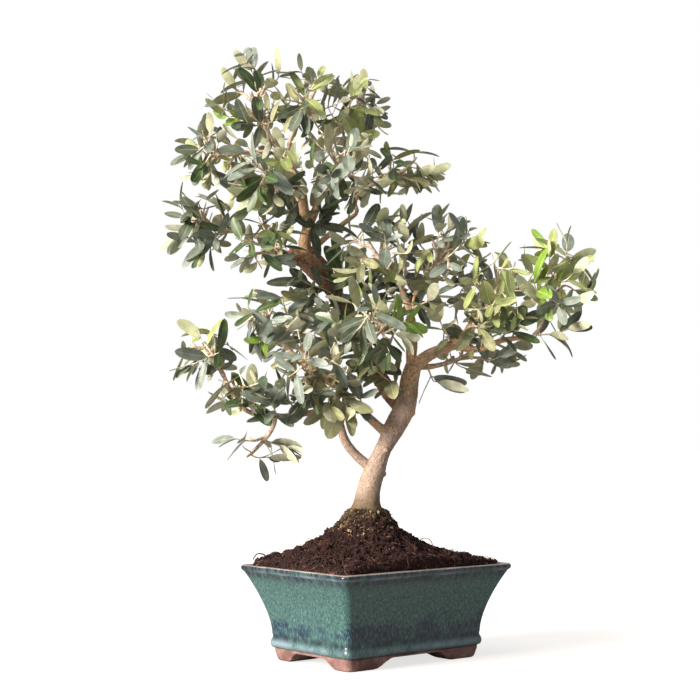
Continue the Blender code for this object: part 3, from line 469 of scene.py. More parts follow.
def drill(piece, low, high):
    """Cut the two round drain holes through the piece between these heights."""
    for side in (-1, 1):
        body = bmesh.new()
        where = Matrix.Translation(POT_PLACE + Vector((side * DRAIN_SPACING / 2, 0, (low + high) / 2)))
        bmesh.ops.create_cone(
            body, cap_ends=True, segments=40, radius1=DRAIN_RADIUS, radius2=DRAIN_RADIUS, depth=high - low,
            matrix=where)
        cut(piece, mesh_from(body, "drill"))


pot = shown("glazed_pot", pot_mesh, glaze)
pot_mesh.shade_smooth()
pot_mesh.set_sharp_from_angle(angle=math.radians(SHARP_FROM))
drill(pot, BODY_FOOT - 0.01, BODY_FOOT + POT_FLOOR + 0.01)
print("pot", len(pot.data.polygons), "faces")

# %% [markdown]
# ## The feet
# The base under the glaze is left bare. It is the same outline, a little smaller, cut through both ways by
# arches whose ends curve down into four corner feet. A prism in the shape of each tunnel does the cutting.

# %% The foot ring
FOOT_RING_SINK, FOOT_TAPER, FOOT_EASE, RING_FLOOR, GAP = 0.0034, 0.0024, 0.0015, 0.0105, 0.0003
foot_rings = [
    outline(-FOOT_RING_SINK - FOOT_TAPER - FOOT_EASE, 0.0), outline(-FOOT_RING_SINK - FOOT_TAPER, FOOT_EASE),
    outline(-FOOT_RING_SINK, RING_FLOOR), outline(-FOOT_RING_SINK, BODY_FOOT - GAP)]
feet = shown("clay_feet", closed_loft("clay_feet", foot_rings))
print("foot ring", len(feet.data.polygons), "faces")

# %% [markdown]
# The prism is longer than the pot, so that it cuts right through. Its sides rise from the feet to its flat
# top by a smooth step, which starts and ends level.

# %% Arches between the feet
FOOT_LONG, FOOT_SHORT, SCROLL_LONG, SCROLL_SHORT = 0.036, 0.021, 0.024, 0.018


def arch(span, foot, scroll, turn, run=0.3, steps=20):
    """A closed prism in the shape of the tunnel between two feet."""
    half = span / 2 - foot
    right = [(half, -0.004), (half, 0.0)]
    for i in range(1, steps + 1):
        share = i / steps
        right.append((half - scroll * share, RING_FLOOR * share * share * (3 - 2 * share)))
    flat = right + [(-x, z) for x, z in right[::-1]]
    rings = [np.array([(x, y, z) for x, z in flat]) for y in (run / 2, -run / 2)]
    mesh = closed_loft("arch", rings, (0, 0, 0))
    mesh.transform(Matrix.Translation(POT_PLACE) @ Matrix.Rotation(turn, 4, "Z"))
    return mesh


inner = 2 * (FOOT_RING_SINK + FOOT_TAPER)
cut(feet, arch(BEAD_LENGTH - inner, FOOT_LONG, SCROLL_LONG, 0.0))
cut(feet, arch(BEAD_DEPTH - inner, FOOT_SHORT, SCROLL_SHORT, math.pi / 2))
drill(feet, 0.0, 2 * BODY_FOOT)
print("cut feet", len(feet.data.polygons), "faces")

# %% [markdown]
# Clay edges are wiped with a sponge before firing. A voxel remesh of the cut block, smoothed a little,
# gives that softness on every edge at once, and small dents take the machine-made look away.

# %% Wiped edges
FOOT_VOXEL, FOOT_WIPES = 0.0011, 3


def melted(piece, voxel, rounds):
    """The piece as one skin of small squares, eased this many times."""
    melt = piece.modifiers.new("melt", "REMESH")
    melt.mode, melt.voxel_size = "VOXEL", voxel
    ease = piece.modifiers.new("ease", "SMOOTH")
    ease.iterations, ease.factor = rounds, 0.5
    return baked(piece)


def move_points(mesh, points):
    mesh.vertices.foreach_set("co", points.astype(np.float32).ravel())


melted(feet, FOOT_VOXEL, FOOT_WIPES)
points = mesh_points(feet.data)
dents = layered(points, (0.00018, 0.004, 4), (0.0002, 0.02, 5))
points += dents[:, None] * np.array((1, 1, 0.3))
points[:, 2] = np.clip(points[:, 2], 0.0, BODY_FOOT - GAP / 3)
move_points(feet.data, points)
feet.data.shade_smooth()
print("feet", len(feet.data.polygons), "faces")

# %% [markdown]
# Stoneware with iron in it fires to a matt red-brown. Water has left lighter and darker stains, as wide as
# a finger. The sand in the clay is a quarter of a millimetre, too fine to show here, so the grit is drawn
# at 1.1 mm. It darkens the colour and breaks the light, which gives a dull, dry surface.

# %% Bare red-brown clay
GRIT, STAIN = 0.0011, 0.018
clay, tree, shader = new_material("bare_fired_clay")
place = add(tree, "ShaderNodeTexCoord").outputs["Object"]
grit = add(tree, "ShaderNodeTexNoise", {"Vector": place, "Scale": 1 / GRIT, "Detail": 3.0}).outputs["Fac"]
stain = add(tree, "ShaderNodeTexNoise", {"Vector": place, "Scale": 1 / STAIN, "Detail": 3.0}).outputs["Fac"]
warm = add(tree, "ShaderNodeValToRGB", {"Fac": stain}, stops=[
    (0.35, "#775652"), (0.55, "#99756f"), (0.72, "#b08e89")])
grain = add(tree, "ShaderNodeValToRGB", {"Fac": grit}, stops=[(0.40, "#c9c9c9"), (0.62, "#ffffff")])
colour = add(tree, "ShaderNodeMix", {
    "Factor": 1.0, "A": warm.outputs[0], "B": grain.outputs[0]}, data_type="RGBA", blend_type="MULTIPLY")
bump = add(tree, "ShaderNodeBump", {"Height": grit, "Strength": 0.5, "Distance": 0.0003})
fill(shader, {
    "Base Color": colour.outputs["Result"], "Normal": bump.outputs["Normal"], "Roughness": 0.82})
feet.data.materials.append(clay)
print("clay", len(tree.nodes), "nodes")

# %% [markdown]
# ## The soil
# The tree came out of a nursery pot, so its old root ball stands up in a collar round the trunk, and loose
# peat has been heaped against it. A Displace modifier on a grid could heap it too, but the edge has to
# follow the pot's wall. So the surface is lofted in rings from the wall to the trunk, at the heights of the
# solid.

# %% Height of the mound
SOIL_EDGE, SOIL_TOP = 0.1035, 0.160
MOUND_RISE, MOUND_SPREAD, MOUND_POWER = 0.048, 0.066, 1.6
COLLAR_RISE, COLLAR_RADIUS, COLLAR_SPREAD, COLLAR_POWER = 0.0148, 0.014, 0.014, 1.5
TRUNK_FOOT = np.array(TREE_PLACE @ Vector((-0.0112, 0.0, 0.0)) - POT_PLACE)[:2]


def mound_height(distance):
    """The soil's height this far from the trunk."""
    mound = MOUND_RISE * np.exp(-((distance / MOUND_SPREAD) ** MOUND_POWER))
    past = np.maximum(0.0, distance - COLLAR_RADIUS) / COLLAR_SPREAD
    return SOIL_EDGE + mound + COLLAR_RISE * np.exp(-(past**COLLAR_POWER))


print("mound", [round(float(mound_height(x)), 3) for x in (0.0, 0.02, 0.05, 0.1)], "m high outwards")

# %% [markdown]
# Noise of three sizes breaks the surface up: heaps, lumps and crumbs. It fades out at the wall, where the
# soil is level. The collar bulges sideways instead, because it is a ball of roots and not a heap. Each ring
# also notes where it lies hollow, for the shadow in the peat's colour.

# %% Rings of the mound
MOUND_RINGS, RING_CROWDING, INNERMOST = 84, 0.85, 0.006
LEVEL_EDGE, COLLAR_EDGE, COLLAR_BULGE, DEEPEST = 0.012, 0.034, 0.0030, 0.0045
soil_rings = []
for height in np.linspace(BODY_FOOT + POT_FLOOR + GAP, LIP_FOOT, 4):
    soil_rings.append(outline(wall_outset(height) - WALL - GAP, height, spacing=0.0021, corner_steps=6))
edge = soil_rings[-1]
hollows = [np.zeros(len(edge))] * len(soil_rings)
away = edge[:, :2] - TRUNK_FOOT
lengths = np.linalg.norm(away, axis=1)
for i in range(1, MOUND_RINGS + 1):
    reach = lengths + (INNERMOST - lengths) * (i / MOUND_RINGS) ** RING_CROWDING
    flat = TRUNK_FOOT + away * (reach / lengths)[:, None]
    ring = np.column_stack([flat, np.minimum(mound_height(reach), SOIL_TOP)])
    loose = np.clip((lengths - reach) / LEVEL_EDGE, 0.0, 1.0)
    collar = np.exp(-((reach / COLLAR_EDGE) ** 4))
    lumps = layered(ring, (0.0048, 0.0080, 7), (0.0018, 0.0034, 8))
    ring[:, 2] += loose * (1 - 0.5 * collar) * (layered(ring, (0.0044, 0.021, 6)) + lumps)
    bulge = collar * (layered(ring, (0.0036, 0.0085, 9), (0.0026, 0.0038, 10)) + COLLAR_BULGE)
    hollows.append(np.clip(-(lumps + bulge - COLLAR_BULGE * collar) / DEEPEST, -1, 1))
    ring[:, :2] += bulge[:, None] * away / lengths[:, None]
    soil_rings.append(ring)
soil_mesh = closed_loft("peat_mound", soil_rings)
print("mound", len(soil_mesh.polygons), "faces")

# %% [markdown]
# Three values at each point steer what comes next: collar says where the root ball is, hollow where it lies
# in a dip, and open where loose crumbs may lie.

# %% What each point of the soil knows
MOSS_REACH, MOSS_FROM, CLEAR_OF_TRUNK, CLEAR_FADE = 0.033, 0.13, 0.016, 0.004
points = mesh_points(soil_mesh)
from_trunk = np.linalg.norm(points[:, :2] - np.array(POT_PLACE)[:2] - TRUNK_FOOT, axis=1)
keep(soil_mesh, "collar", np.exp(-((from_trunk / MOSS_REACH) ** 4)) * (points[:, 2] > MOSS_FROM))
keep(soil_mesh, "hollow", np.concatenate(hollows))
beyond_trunk = np.clip((from_trunk - CLEAR_OF_TRUNK) / CLEAR_FADE, 0, 1)
keep(soil_mesh, "open", (points[:, 2] > LIP_FOOT + 0.004) * beyond_trunk)
soil_mesh.shade_smooth()
print("attributes", [attribute.name for attribute in soil_mesh.attributes if attribute.name[0] != "."])

# %% [markdown]
# Moist peat is red-brown, and dull all over, because its fibres swallow the light. Its dips are darkened to
# almost black as painted shade. Clods are 6 mm and crumbs 1.6 mm. On the collar dried moss turns it to an
# olive tan.

# %% Moist peat
CLOD, PEAT_CRUMB = 0.006, 0.0016
peat, tree, shader = new_material("moist_peat")
place = add(tree, "ShaderNodeTexCoord").outputs["Object"]
coarse = add(tree, "ShaderNodeTexNoise", {"Vector": place, "Scale": 1 / CLOD, "Detail": 4.0}).outputs["Fac"]
fine = add(tree, "ShaderNodeTexNoise", {
    "Vector": place, "Scale": 1 / PEAT_CRUMB, "Detail": 3.0, "Roughness": 0.7}).outputs["Fac"]
brown = add(tree, "ShaderNodeValToRGB", {"Fac": fine}, stops=[
    (0.35, "#140a0a"), (0.49, "#261413"), (0.60, "#3b2220"), (0.74, "#64443b")])
moss = add(tree, "ShaderNodeValToRGB", {"Fac": fine}, stops=[
    (0.33, "#2b2119"), (0.47, "#4a3d2c"), (0.58, "#655a3f"), (0.72, "#8c7c60")])
near = add(tree, "ShaderNodeAttribute", attribute_name="collar").outputs["Fac"]
near = add(tree, "ShaderNodeMath", {0: near, 1: coarse}, operation="MULTIPLY").outputs[0]
near = add(tree, "ShaderNodeMapRange", {"Value": near, "From Min": 0.28, "From Max": 0.52}).outputs["Result"]
mixed = add(tree, "ShaderNodeMix", {
    "Factor": near, "A": brown.outputs[0], "B": moss.outputs[0]}, data_type="RGBA")
# The hollow attribute darkens the dips towards near black: painted shade.
hollow = add(tree, "ShaderNodeAttribute", attribute_name="hollow").outputs["Fac"]
shadow = add(tree, "ShaderNodeMapRange", {
    "Value": hollow, "From Min": -0.1, "From Max": 0.8, "To Min": 0.0, "To Max": 0.8}).outputs["Result"]
colour = add(tree, "ShaderNodeMix", {
    "Factor": shadow, "A": mixed.outputs["Result"], "B": linear("#120b0b")}, data_type="RGBA")
bump = add(tree, "ShaderNodeBump", {"Height": fine, "Strength": 0.9, "Distance": 0.0009})
fill(shader, {
    "Base Color": colour.outputs["Result"], "Normal": bump.outputs["Normal"], "Roughness": 0.93,
    "Specular IOR Level": 0.25})
mound = shown("peat_mound", soil_mesh, peat)
print("peat", len(tree.nodes), "nodes")


# %% [markdown]
# Peat is crumbs and fibres. Both lie all over the surface in their thousands, so one Geometry Nodes tree
# scatters small shapes over the mound. It takes a collection of shapes, how many to the square metre, and
# the smallest and largest size. A named attribute says where they may lie.

# %% A tree that scatters small shapes
def new_tree(name, inputs, output):
    """A Geometry Nodes tree with one geometry output, and its inputs' sockets by name."""
    tree = bpy.data.node_groups.new(name, "GeometryNodeTree")
    for socket, kind in inputs:
        tree.interface.new_socket(socket, in_out="INPUT", socket_type="NodeSocket" + kind)
    tree.interface.new_socket(output, in_out="OUTPUT", socket_type="NodeSocketGeometry")
    return tree, add(tree, "NodeGroupInput").outputs


def scatter_tree(name, where):
    tree, asked = new_tree(name, (
        ("Ground", "Geometry"), ("Shapes", "Collection"), ("Density", "Float"), ("Smallest", "Float"),
        ("Largest", "Float"), ("Lean", "Float"), ("Seed", "Int"), ("Finish", "Material")), "Scattered")
    place = add(tree, "GeometryNodeInputNamedAttribute", {
        "Name": where}, data_type="FLOAT").outputs["Attribute"]
    density = add(tree, "ShaderNodeMath", {0: asked["Density"], 1: place}, operation="MULTIPLY").outputs[0]
    spots = add(tree, "GeometryNodeDistributePointsOnFaces", {
        "Mesh": asked["Ground"], "Density": density, "Seed": asked["Seed"]})
    low = add(tree, "ShaderNodeMath", {0: asked["Lean"], 1: -1.0}, operation="MULTIPLY").outputs[0]
    least = add(tree, "ShaderNodeCombineXYZ", {0: low, 1: low, 2: 0.0}).outputs[0]
    most = add(tree, "ShaderNodeCombineXYZ", {0: asked["Lean"], 1: asked["Lean"], 2: math.tau}).outputs[0]
    tip = add(tree, "FunctionNodeRandomValue", {
        0: least, 1: most, "Seed": asked["Seed"]}, data_type="FLOAT_VECTOR").outputs[0]
    turned = add(tree, "FunctionNodeRotateRotation", {
        "Rotation": spots.outputs["Rotation"], "Rotate By": tip}, rotation_space="LOCAL").outputs[0]
    size = add(tree, "FunctionNodeRandomValue", {
        2: asked["Smallest"], 3: asked["Largest"], "Seed": asked["Seed"]}, data_type="FLOAT").outputs[1]
    shapes = add(tree, "GeometryNodeCollectionInfo", {
        "Collection": asked["Shapes"], "Separate Children": True, "Reset Children": True}).outputs[0]
    laid = add(tree, "GeometryNodeInstanceOnPoints", {
        "Points": spots.outputs["Points"], "Instance": shapes, "Pick Instance": True, "Rotation": turned,
        "Scale": size}).outputs[0]
    real = add(tree, "GeometryNodeRealizeInstances", {"Geometry": laid}).outputs[0]
    painted = add(tree, "GeometryNodeSetMaterial", {"Geometry": real, "Material": asked["Finish"]}).outputs[0]
    add(tree, "NodeGroupOutput", {"Scattered": painted})
    return tree


over_open_soil = scatter_tree("scatter_on_open_soil", "open")
over_collar = scatter_tree("scatter_on_collar", "collar")
print("trees", over_open_soil.name, over_collar.name)

# %% [markdown]
# A tree only runs as a modifier. So a holder object takes the ground mesh and the modifier, every input is
# set by its socket's identifier, and the result is turned into plain mesh.

# %% Run a tree
def made_by(name, tree, mesh, values):
    """The plain mesh that a tree makes from this mesh, as a new object."""
    holder = shown(name, mesh)
    modifier = holder.modifiers.new(name, "NODES")
    modifier.node_group = tree
    for item in tree.interface.items_tree:
        if item.in_out == "INPUT" and item.name in values:
            modifier[item.identifier] = values[item.name]
    return baked(holder)


def shape_collection(name, meshes):
    """A collection of shapes for a tree to pick from. It isn't part of the scene."""
    kept = bpy.data.collections.new(name)
    for i, mesh in enumerate(meshes):
        kept.objects.link(bpy.data.objects.new(f"{name}_{i}", mesh))
    return kept


print("inputs", [item.name for item in over_collar.interface.items_tree if item.in_out == "INPUT"])

# %% [markdown]
# A crumb of peat is a torn, flattened lump. A ball of twenty faces, pushed about by noise, is enough,
# because there are thousands of them.

# %% Crumbs
CRUMB_DENTS, CRUMB_HEIGHT = 0.75, 0.65


def crumb(seed):
    """A lump of unit size, pushed about by noise and pressed a little flat."""
    body = bmesh.new()
    bmesh.ops.create_icosphere(body, subdivisions=1, radius=0.5)
    for vert in body.verts:
        vert.co *= 1 + CRUMB_DENTS * noise.noise(vert.co * 2.3 + Vector((seed, 3.1 * seed, 0)))
        vert.co.z *= CRUMB_HEIGHT
    return mesh_from(body, f"crumb_{seed}")


crumb_shapes = shape_collection("crumb_shapes", [crumb(seed) for seed in range(1, 6)])
crumbs = made_by("peat_crumbs", over_open_soil, soil_mesh, {
    "Shapes": crumb_shapes, "Density": 150000.0, "Smallest": 0.0012, "Largest": 0.0060, "Lean": 0.6,
    "Seed": 3, "Finish": peat})
print("crumbs", len(crumbs.data.polygons), "faces")

# %% [markdown]
# The fibres are bits of dry stem and root, up to 14 mm long, bowed and a little kinked. Where they have
# dried they are tan and matt, and where they are still wet they are nearly as dark as the peat.

# %% Fibres
FIBRE_RADIUS, FIBRE_RISE, FIBRE_PATCH = 0.019, 0.14, 0.007


def fibre(seed, bend, sides=3, joints=5):
    """A curved strand of unit length, lying along X and bowed up a little, with closed ends."""
    rng = random.Random(seed)
    path = [np.array((t - 0.5, bend * math.sin(math.pi * t) + rng.uniform(-0.03, 0.03),
                      0.05 + FIBRE_RISE * math.sin(math.pi * t) * rng.uniform(0.3, 1.0)))
            for t in np.linspace(0, 1, joints)]
    rings = []
    for i, point in enumerate(path):
        radius = FIBRE_RADIUS * (0.5 if i in (0, joints - 1) else 1.0)
        rings.append(np.array([point + radius * np.array((0, math.cos(a), math.sin(a)))
                               for a in np.arange(sides) * math.tau / sides]))
    return closed_loft(f"fibre_{seed}", rings, (0, 0, 0))


tan, tree, shader = new_material("dry_peat_fibre")
place = add(tree, "ShaderNodeTexCoord").outputs["Object"]
patches = add(tree, "ShaderNodeTexNoise", {
    "Vector": place, "Scale": 1 / FIBRE_PATCH, "Detail": 2.0}).outputs["Fac"]
shade = add(tree, "ShaderNodeValToRGB", {"Fac": patches}, stops=[
    (0.42, "#301c18"), (0.55, "#583a2f"), (0.70, "#94745b")])
fill(shader, {"Base Color": shade.outputs[0], "Roughness": 0.85})
strands = [fibre(seed, bend) for seed, bend in ((1, 0.05), (2, 0.18), (3, -0.12), (4, 0.30))]
fibres = made_by("peat_fibres", over_open_soil, soil_mesh, {
    "Shapes": shape_collection("fibre_shapes", strands), "Density": 30000.0, "Smallest": 0.0050,
    "Largest": 0.014, "Lean": 0.35, "Seed": 8, "Finish": tan})
print("fibres", len(fibres.data.polygons), "faces")

# %% [markdown]
# The collar is the old root ball, felted with fine roots and dry moss, so it gets smaller and greener
# crumbs, more tightly packed. Dry moss is quite matt, and goes from brown to straw in cushions of 5 mm.

# %% Dry moss on the collar
MOSS_CUSHION = 0.005
dry_moss, tree, shader = new_material("dry_moss")
place = add(tree, "ShaderNodeTexCoord").outputs["Object"]
patches = add(tree, "ShaderNodeTexNoise", {
    "Vector": place, "Scale": 1 / MOSS_CUSHION, "Detail": 3.0}).outputs["Fac"]
shade = add(tree, "ShaderNodeValToRGB", {"Fac": patches}, stops=[
    (0.36, "#33241b"), (0.47, "#574330"), (0.55, "#776d47"), (0.66, "#b09473")])
fill(shader, {"Base Color": shade.outputs[0], "Roughness": 0.95})
tufts = made_by("moss_tufts", over_collar, soil_mesh, {
    "Shapes": crumb_shapes, "Density": 360000.0, "Smallest": 0.0010, "Largest": 0.0042, "Lean": 0.8,
    "Seed": 5, "Finish": dry_moss})
print("tufts", len(tufts.data.polygons), "faces")

# %% [markdown]
# ## The limbs
# The frame's limbs are separate tapering tubes. On the tree they are one skin of wood. The same paths and
# radii are written again here, finer, and the tubes are melted into one by a voxel remesh, which also fills
# the crotches. Every point is (across, back, up) in the tree's own directions.

# %% Paths and radii of the limbs
ROOT_RADIUS = 0.0165
LIMBS = {  # (radius at its foot, radius at its tip, points along it)
    "trunk": (ROOT_RADIUS, 0.0092, (
        (-0.0112, 0.0, 0.154), (-0.0104, 0.0, 0.170), (-0.0082, 0.0, 0.184), (-0.0030, 0.0, 0.201),
        (0.0062, 0.0, 0.224), (0.0208, 0.0, 0.2525), (0.0302, 0.0, 0.270), (0.0340, 0.0, 0.286),
        (0.0362, 0.0, 0.302), (0.0400, 0.0, 0.3165))),
    "old_trunk": (0.0090, 0.0085, (
        (0.0270, 0.002, 0.272), (0.0136, 0.010, 0.2886), (-0.0072, 0.025, 0.324), (-0.0320, 0.036, 0.371),
        (-0.0550, 0.040, 0.413), (-0.0680, 0.039, 0.429), (-0.0830, 0.036, 0.439), (-0.0980, 0.033, 0.441))),
    "crown_stem": (0.0080, 0.0036, (
        (-0.0790, 0.036, 0.437), (-0.0800, 0.033, 0.458), (-0.0765, 0.030, 0.474), (-0.0805, 0.026, 0.492),
        (-0.0830, 0.020, 0.512), (-0.0920, 0.014, 0.533), (-0.1150, 0.014, 0.565))),
    "right_stem": (0.0056, 0.0030, (
        (-0.0762, 0.030, 0.474), (-0.0680, 0.030, 0.492), (-0.0620, 0.030, 0.511), (-0.0450, 0.029, 0.527),
        (-0.0340, 0.024, 0.560))),
    "far_right_limb": (0.0040, 0.0023, (
        (-0.0800, 0.037, 0.440), (-0.0577, 0.042, 0.4617), (-0.0353, 0.045, 0.480), (-0.0225, 0.045, 0.491),
        (-0.0240, 0.045, 0.502), (-0.0173, 0.045, 0.514), (0.0100, 0.045, 0.527))),
    "drooping_limb": (0.0042, 0.0026, (
        (-0.0880, 0.035, 0.439), (-0.1064, 0.030, 0.446), (-0.1190, 0.024, 0.455), (-0.1700, 0.016, 0.476))),
    "middle_stem": (0.0062, 0.0034, (
        (0.0385, 0.0, 0.310), (0.0372, 0.0, 0.336), (0.0388, 0.0, 0.3617), (0.0360, -0.001, 0.377),
        (0.0240, -0.004, 0.410))),
    "right_bough": (0.0080, 0.0046, (
        (0.0385, 0.0, 0.313), (0.0540, 0.0, 0.3267), (0.0693, 0.0, 0.3343), (0.0824, 0.0, 0.3397),
        (0.0944, 0.0, 0.3485), (0.1180, -0.004, 0.376))),
    "right_arm": (0.0044, 0.0024, (
        (0.0815, 0.0, 0.3395), (0.1020, 0.002, 0.3354), (0.1173, 0.002, 0.3364), (0.1347, 0.0, 0.3441),
        (0.1544, 0.0, 0.3473), (0.1700, 0.001, 0.3480), (0.1860, 0.002, 0.370))),
    "right_low_limb": (0.0044, 0.0030, (
        (0.0440, 0.002, 0.3170), (0.0590, 0.010, 0.3165), (0.0740, 0.016, 0.3205), (0.0900, 0.026, 0.3290),
        (0.1180, 0.042, 0.345))),
    "left_high_limb": (0.0054, 0.0026, (
        (0.0110, 0.0, 0.243), (-0.0060, -0.005, 0.2585), (-0.0234, -0.012, 0.2763), (-0.0400, -0.018, 0.2915),
        (-0.0620, -0.020, 0.3060), (-0.0980, -0.016, 0.336))),
    "left_low_limb": (0.0060, 0.0042, (
        (-0.0030, 0.0, 0.203), (-0.0240, -0.005, 0.2215), (-0.0343, -0.010, 0.2363), (-0.0392, -0.012, 0.252),
        (-0.0440, -0.015, 0.269))),
    "left_low_arm": (0.0036, 0.0024, (
        (-0.0425, -0.0145, 0.2640), (-0.0600, -0.015, 0.2675), (-0.0870, -0.015, 0.2635),
        (-0.1240, -0.015, 0.2625), (-0.1500, -0.016, 0.276), (-0.1700, -0.016, 0.315))),
}
print(len(LIMBS), "limbs")

# %% [markdown]
# Each mass of foliage has a space of its own: an egg with a centre and a reach. A bough runs from its limb
# until it enters that space, by the same rule as in the solids, and the mass's stem starts where the bough
# or limb ends.

# %% Spaces of the masses
MASSES = {  # (the limb that carries it, share of that limb's length, centre, reach)
    "peak_leaves": ("crown_stem", 1.0, (-0.1330, 0.004, 0.608), (0.058, 0.058, 0.068)),
    "top_middle_leaves": ("crown_stem", 0.80, (-0.0740, -0.024, 0.600), (0.052, 0.056, 0.058)),
    "top_right_leaves": ("right_stem", 1.0, (-0.0240, 0.012, 0.595), (0.054, 0.060, 0.060)),
    "far_right_leaves": ("far_right_limb", 1.0, (0.0280, 0.036, 0.537), (0.058, 0.054, 0.043)),
    "upper_left_leaves": ("crown_stem", 0.84, (-0.1780, 0.010, 0.551), (0.054, 0.058, 0.054)),
    "low_left_leaves": ("drooping_limb", 1.0, (-0.1880, 0.006, 0.474), (0.060, 0.060, 0.056)),
    "front_leaves": ("crown_stem", 0.45, (-0.1130, -0.050, 0.518), (0.058, 0.058, 0.054)),
    "low_front_leaves": ("drooping_limb", 0.40, (-0.1220, -0.028, 0.448), (0.052, 0.050, 0.042)),
    "inner_right_leaves": ("right_stem", 0.50, (-0.0370, -0.048, 0.526), (0.060, 0.058, 0.054)),
    "back_left_leaves": ("crown_stem", 0.42, (-0.1200, 0.078, 0.535), (0.058, 0.048, 0.060)),
    "back_right_leaves": ("right_stem", 0.35, (-0.0400, 0.082, 0.548), (0.056, 0.046, 0.058)),
    "middle_top_leaves": ("middle_stem", 1.0, (-0.0020, -0.022, 0.441), (0.062, 0.056, 0.054)),
    "middle_right_leaves": ("middle_stem", 0.62, (0.0740, -0.006, 0.443), (0.059, 0.060, 0.056)),
    "middle_front_leaves": ("middle_stem", 0.30, (-0.0060, -0.056, 0.356), (0.064, 0.052, 0.058)),
    "middle_back_leaves": ("trunk", 0.93, (0.0300, 0.072, 0.410), (0.058, 0.048, 0.056)),
    "right_inner_leaves": ("right_bough", 1.0, (0.1300, -0.014, 0.402), (0.055, 0.060, 0.056)),
    "right_tip_leaves": ("right_arm", 1.0, (0.1940, 0.000, 0.410), (0.057, 0.060, 0.064)),
    "right_low_leaves": ("right_low_limb", 1.0, (0.1100, 0.034, 0.337), (0.064, 0.052, 0.038)),
    "right_back_leaves": ("right_bough", 0.45, (0.1180, 0.074, 0.402), (0.056, 0.046, 0.050)),
    "left_high_leaves": ("left_high_limb", 1.0, (-0.1160, -0.014, 0.365), (0.058, 0.056, 0.050)),
    "left_tip_leaves": ("left_low_arm", 1.0, (-0.1820, -0.016, 0.333), (0.055, 0.056, 0.050)),
    "left_inner_leaves": ("left_high_limb", 0.62, (-0.0680, -0.044, 0.318), (0.058, 0.052, 0.050)),
    "left_low_leaves": ("left_low_arm", 0.62, (-0.1440, -0.026, 0.290), (0.052, 0.048, 0.038)),
    "left_drooping_leaves": ("left_low_arm", 0.46, (-0.1310, -0.014, 0.229), (0.056, 0.044, 0.043)),
    "left_back_leaves": ("old_trunk", 0.30, (-0.0820, 0.068, 0.352), (0.058, 0.048, 0.054)),
}
MASS_NAMES = list(MASSES)
CENTRES = np.array([MASSES[name][2] for name in MASS_NAMES])
REACHES = np.array([MASSES[name][3] for name in MASS_NAMES])
print(len(MASS_NAMES), "masses, up to", round(float((CENTRES + REACHES)[:, 2].max()), 3), "m high")

# %% [markdown]
# Where two spaces meet, a point belongs to the mass that it is nearer to, for its reach.

# %% In a space or not
def in_space(index, points):
    """Whether each point is within this mass's reach, and nearer to it than to any other mass."""
    apart = np.linalg.norm((points[:, None, :] - CENTRES) / REACHES, axis=2)
    own = apart[:, index].copy()
    apart[:, index] = np.inf
    return (own <= 1.0) & (own <= apart.min(axis=1))


def end_at_space(path, index):
    """The path as far as the mass's space, or nearly all of it where it doesn't get there."""
    inside = in_space(index, path)
    return path[: max(int(np.argmax(inside)) if inside.any() else len(path) - 1, 3) + 1]


print(sum(in_space(i, CENTRES)[i] for i in range(len(CENTRES))), "centres lie in their own space")

# %% [markdown]
# A limb bends without corners, so each path is a Catmull-Rom curve, which runs through its points. A few
# small functions read it: how far along each point is, and the place and direction at a share of its
# length.

# %% Curves through points
def unit(vector):
    return vector / np.linalg.norm(vector)


def smooth_path(points, spacing=0.002):
    """A Catmull-Rom curve through the points."""
    points = np.array(points, float)
    ends = np.vstack([2 * points[0] - points[1], points, 2 * points[-1] - points[-2]])
    rows = []
    for a, b, c, d in zip(ends, ends[1:], ends[2:], ends[3:]):
        steps = max(2, round(np.linalg.norm(c - b) / spacing))
        for t in np.arange(steps) / steps:
            rows.append(0.5 * (
                2 * b + (c - a) * t + (2 * a - 5 * b + 4 * c - d) * t**2 + (3 * b - a - 3 * c + d) * t**3))
    rows.append(points[-1])
    return np.array(rows)


def lengths_along(path):
    return np.concatenate([[0.0], np.cumsum(np.linalg.norm(np.diff(path, axis=0), axis=1))])


def share_point(path, share):
    """(place, direction) at this share of the path's length."""
    run = lengths_along(path)
    place = np.array([np.interp(share * run[-1], run, path[:, k]) for k in range(3)])
    i = int(np.clip(np.searchsorted(run, share * run[-1]), 1, len(path) - 1))
    return place, unit(path[i] - path[i - 1])


trunk_length = lengths_along(smooth_path(LIMBS["trunk"][2]))[-1]
print("trunk", round(float(trunk_length), 3), "m along its curve")

# %% [markdown]
# Wood thins from foot to tip, a little faster near the foot. The trunk also flares at the soil and has a
# waist, and the old trunk swells to a knuckle where it was cut back and grew on.

# %% Thickness along a limb
TRUNK_RADII, TRUNK_SHARES = (0.0124, 0.0120, 0.0118), (0.0, 0.35, 0.75, 1.0)
WAIST_DEPTH, WAIST_UP, WAIST_SPREAD = 0.0030, 0.226, 0.016
KNUCKLE_SWELL, KNUCKLE_SHARE, KNUCKLE_SPREAD = 0.0048, 0.84, 0.09
ROOT_FLARE_HEIGHT, TAPER_POWER = 0.008, 0.8


def limb_radii(name, path, foot, tip):
    share = lengths_along(path) / lengths_along(path)[-1]
    if name == "trunk":
        above_soil = np.maximum(0.0, path[:, 2] - SOIL_TOP)
        flare = (foot - TRUNK_RADII[0]) * np.exp(-above_soil / ROOT_FLARE_HEIGHT)
        waist = WAIST_DEPTH * np.exp(-(((path[:, 2] - WAIST_UP) / WAIST_SPREAD) ** 2))
        return np.interp(share, TRUNK_SHARES, (*TRUNK_RADII, tip)) + flare - waist
    if name == "old_trunk":
        knuckle = KNUCKLE_SWELL * np.exp(-(((share - KNUCKLE_SHARE) / KNUCKLE_SPREAD) ** 2))
        return foot + (tip - foot) * share + knuckle
    return foot + (tip - foot) * share**TAPER_POWER


print("waist", round(WAIST_UP - SOIL_TOP, 3), "m over the soil")

# %% [markdown]
# A limb whose tip carries a mass ends where it enters that mass's space. The end and the direction there
# are kept as the mass's seat, where its stem will start.

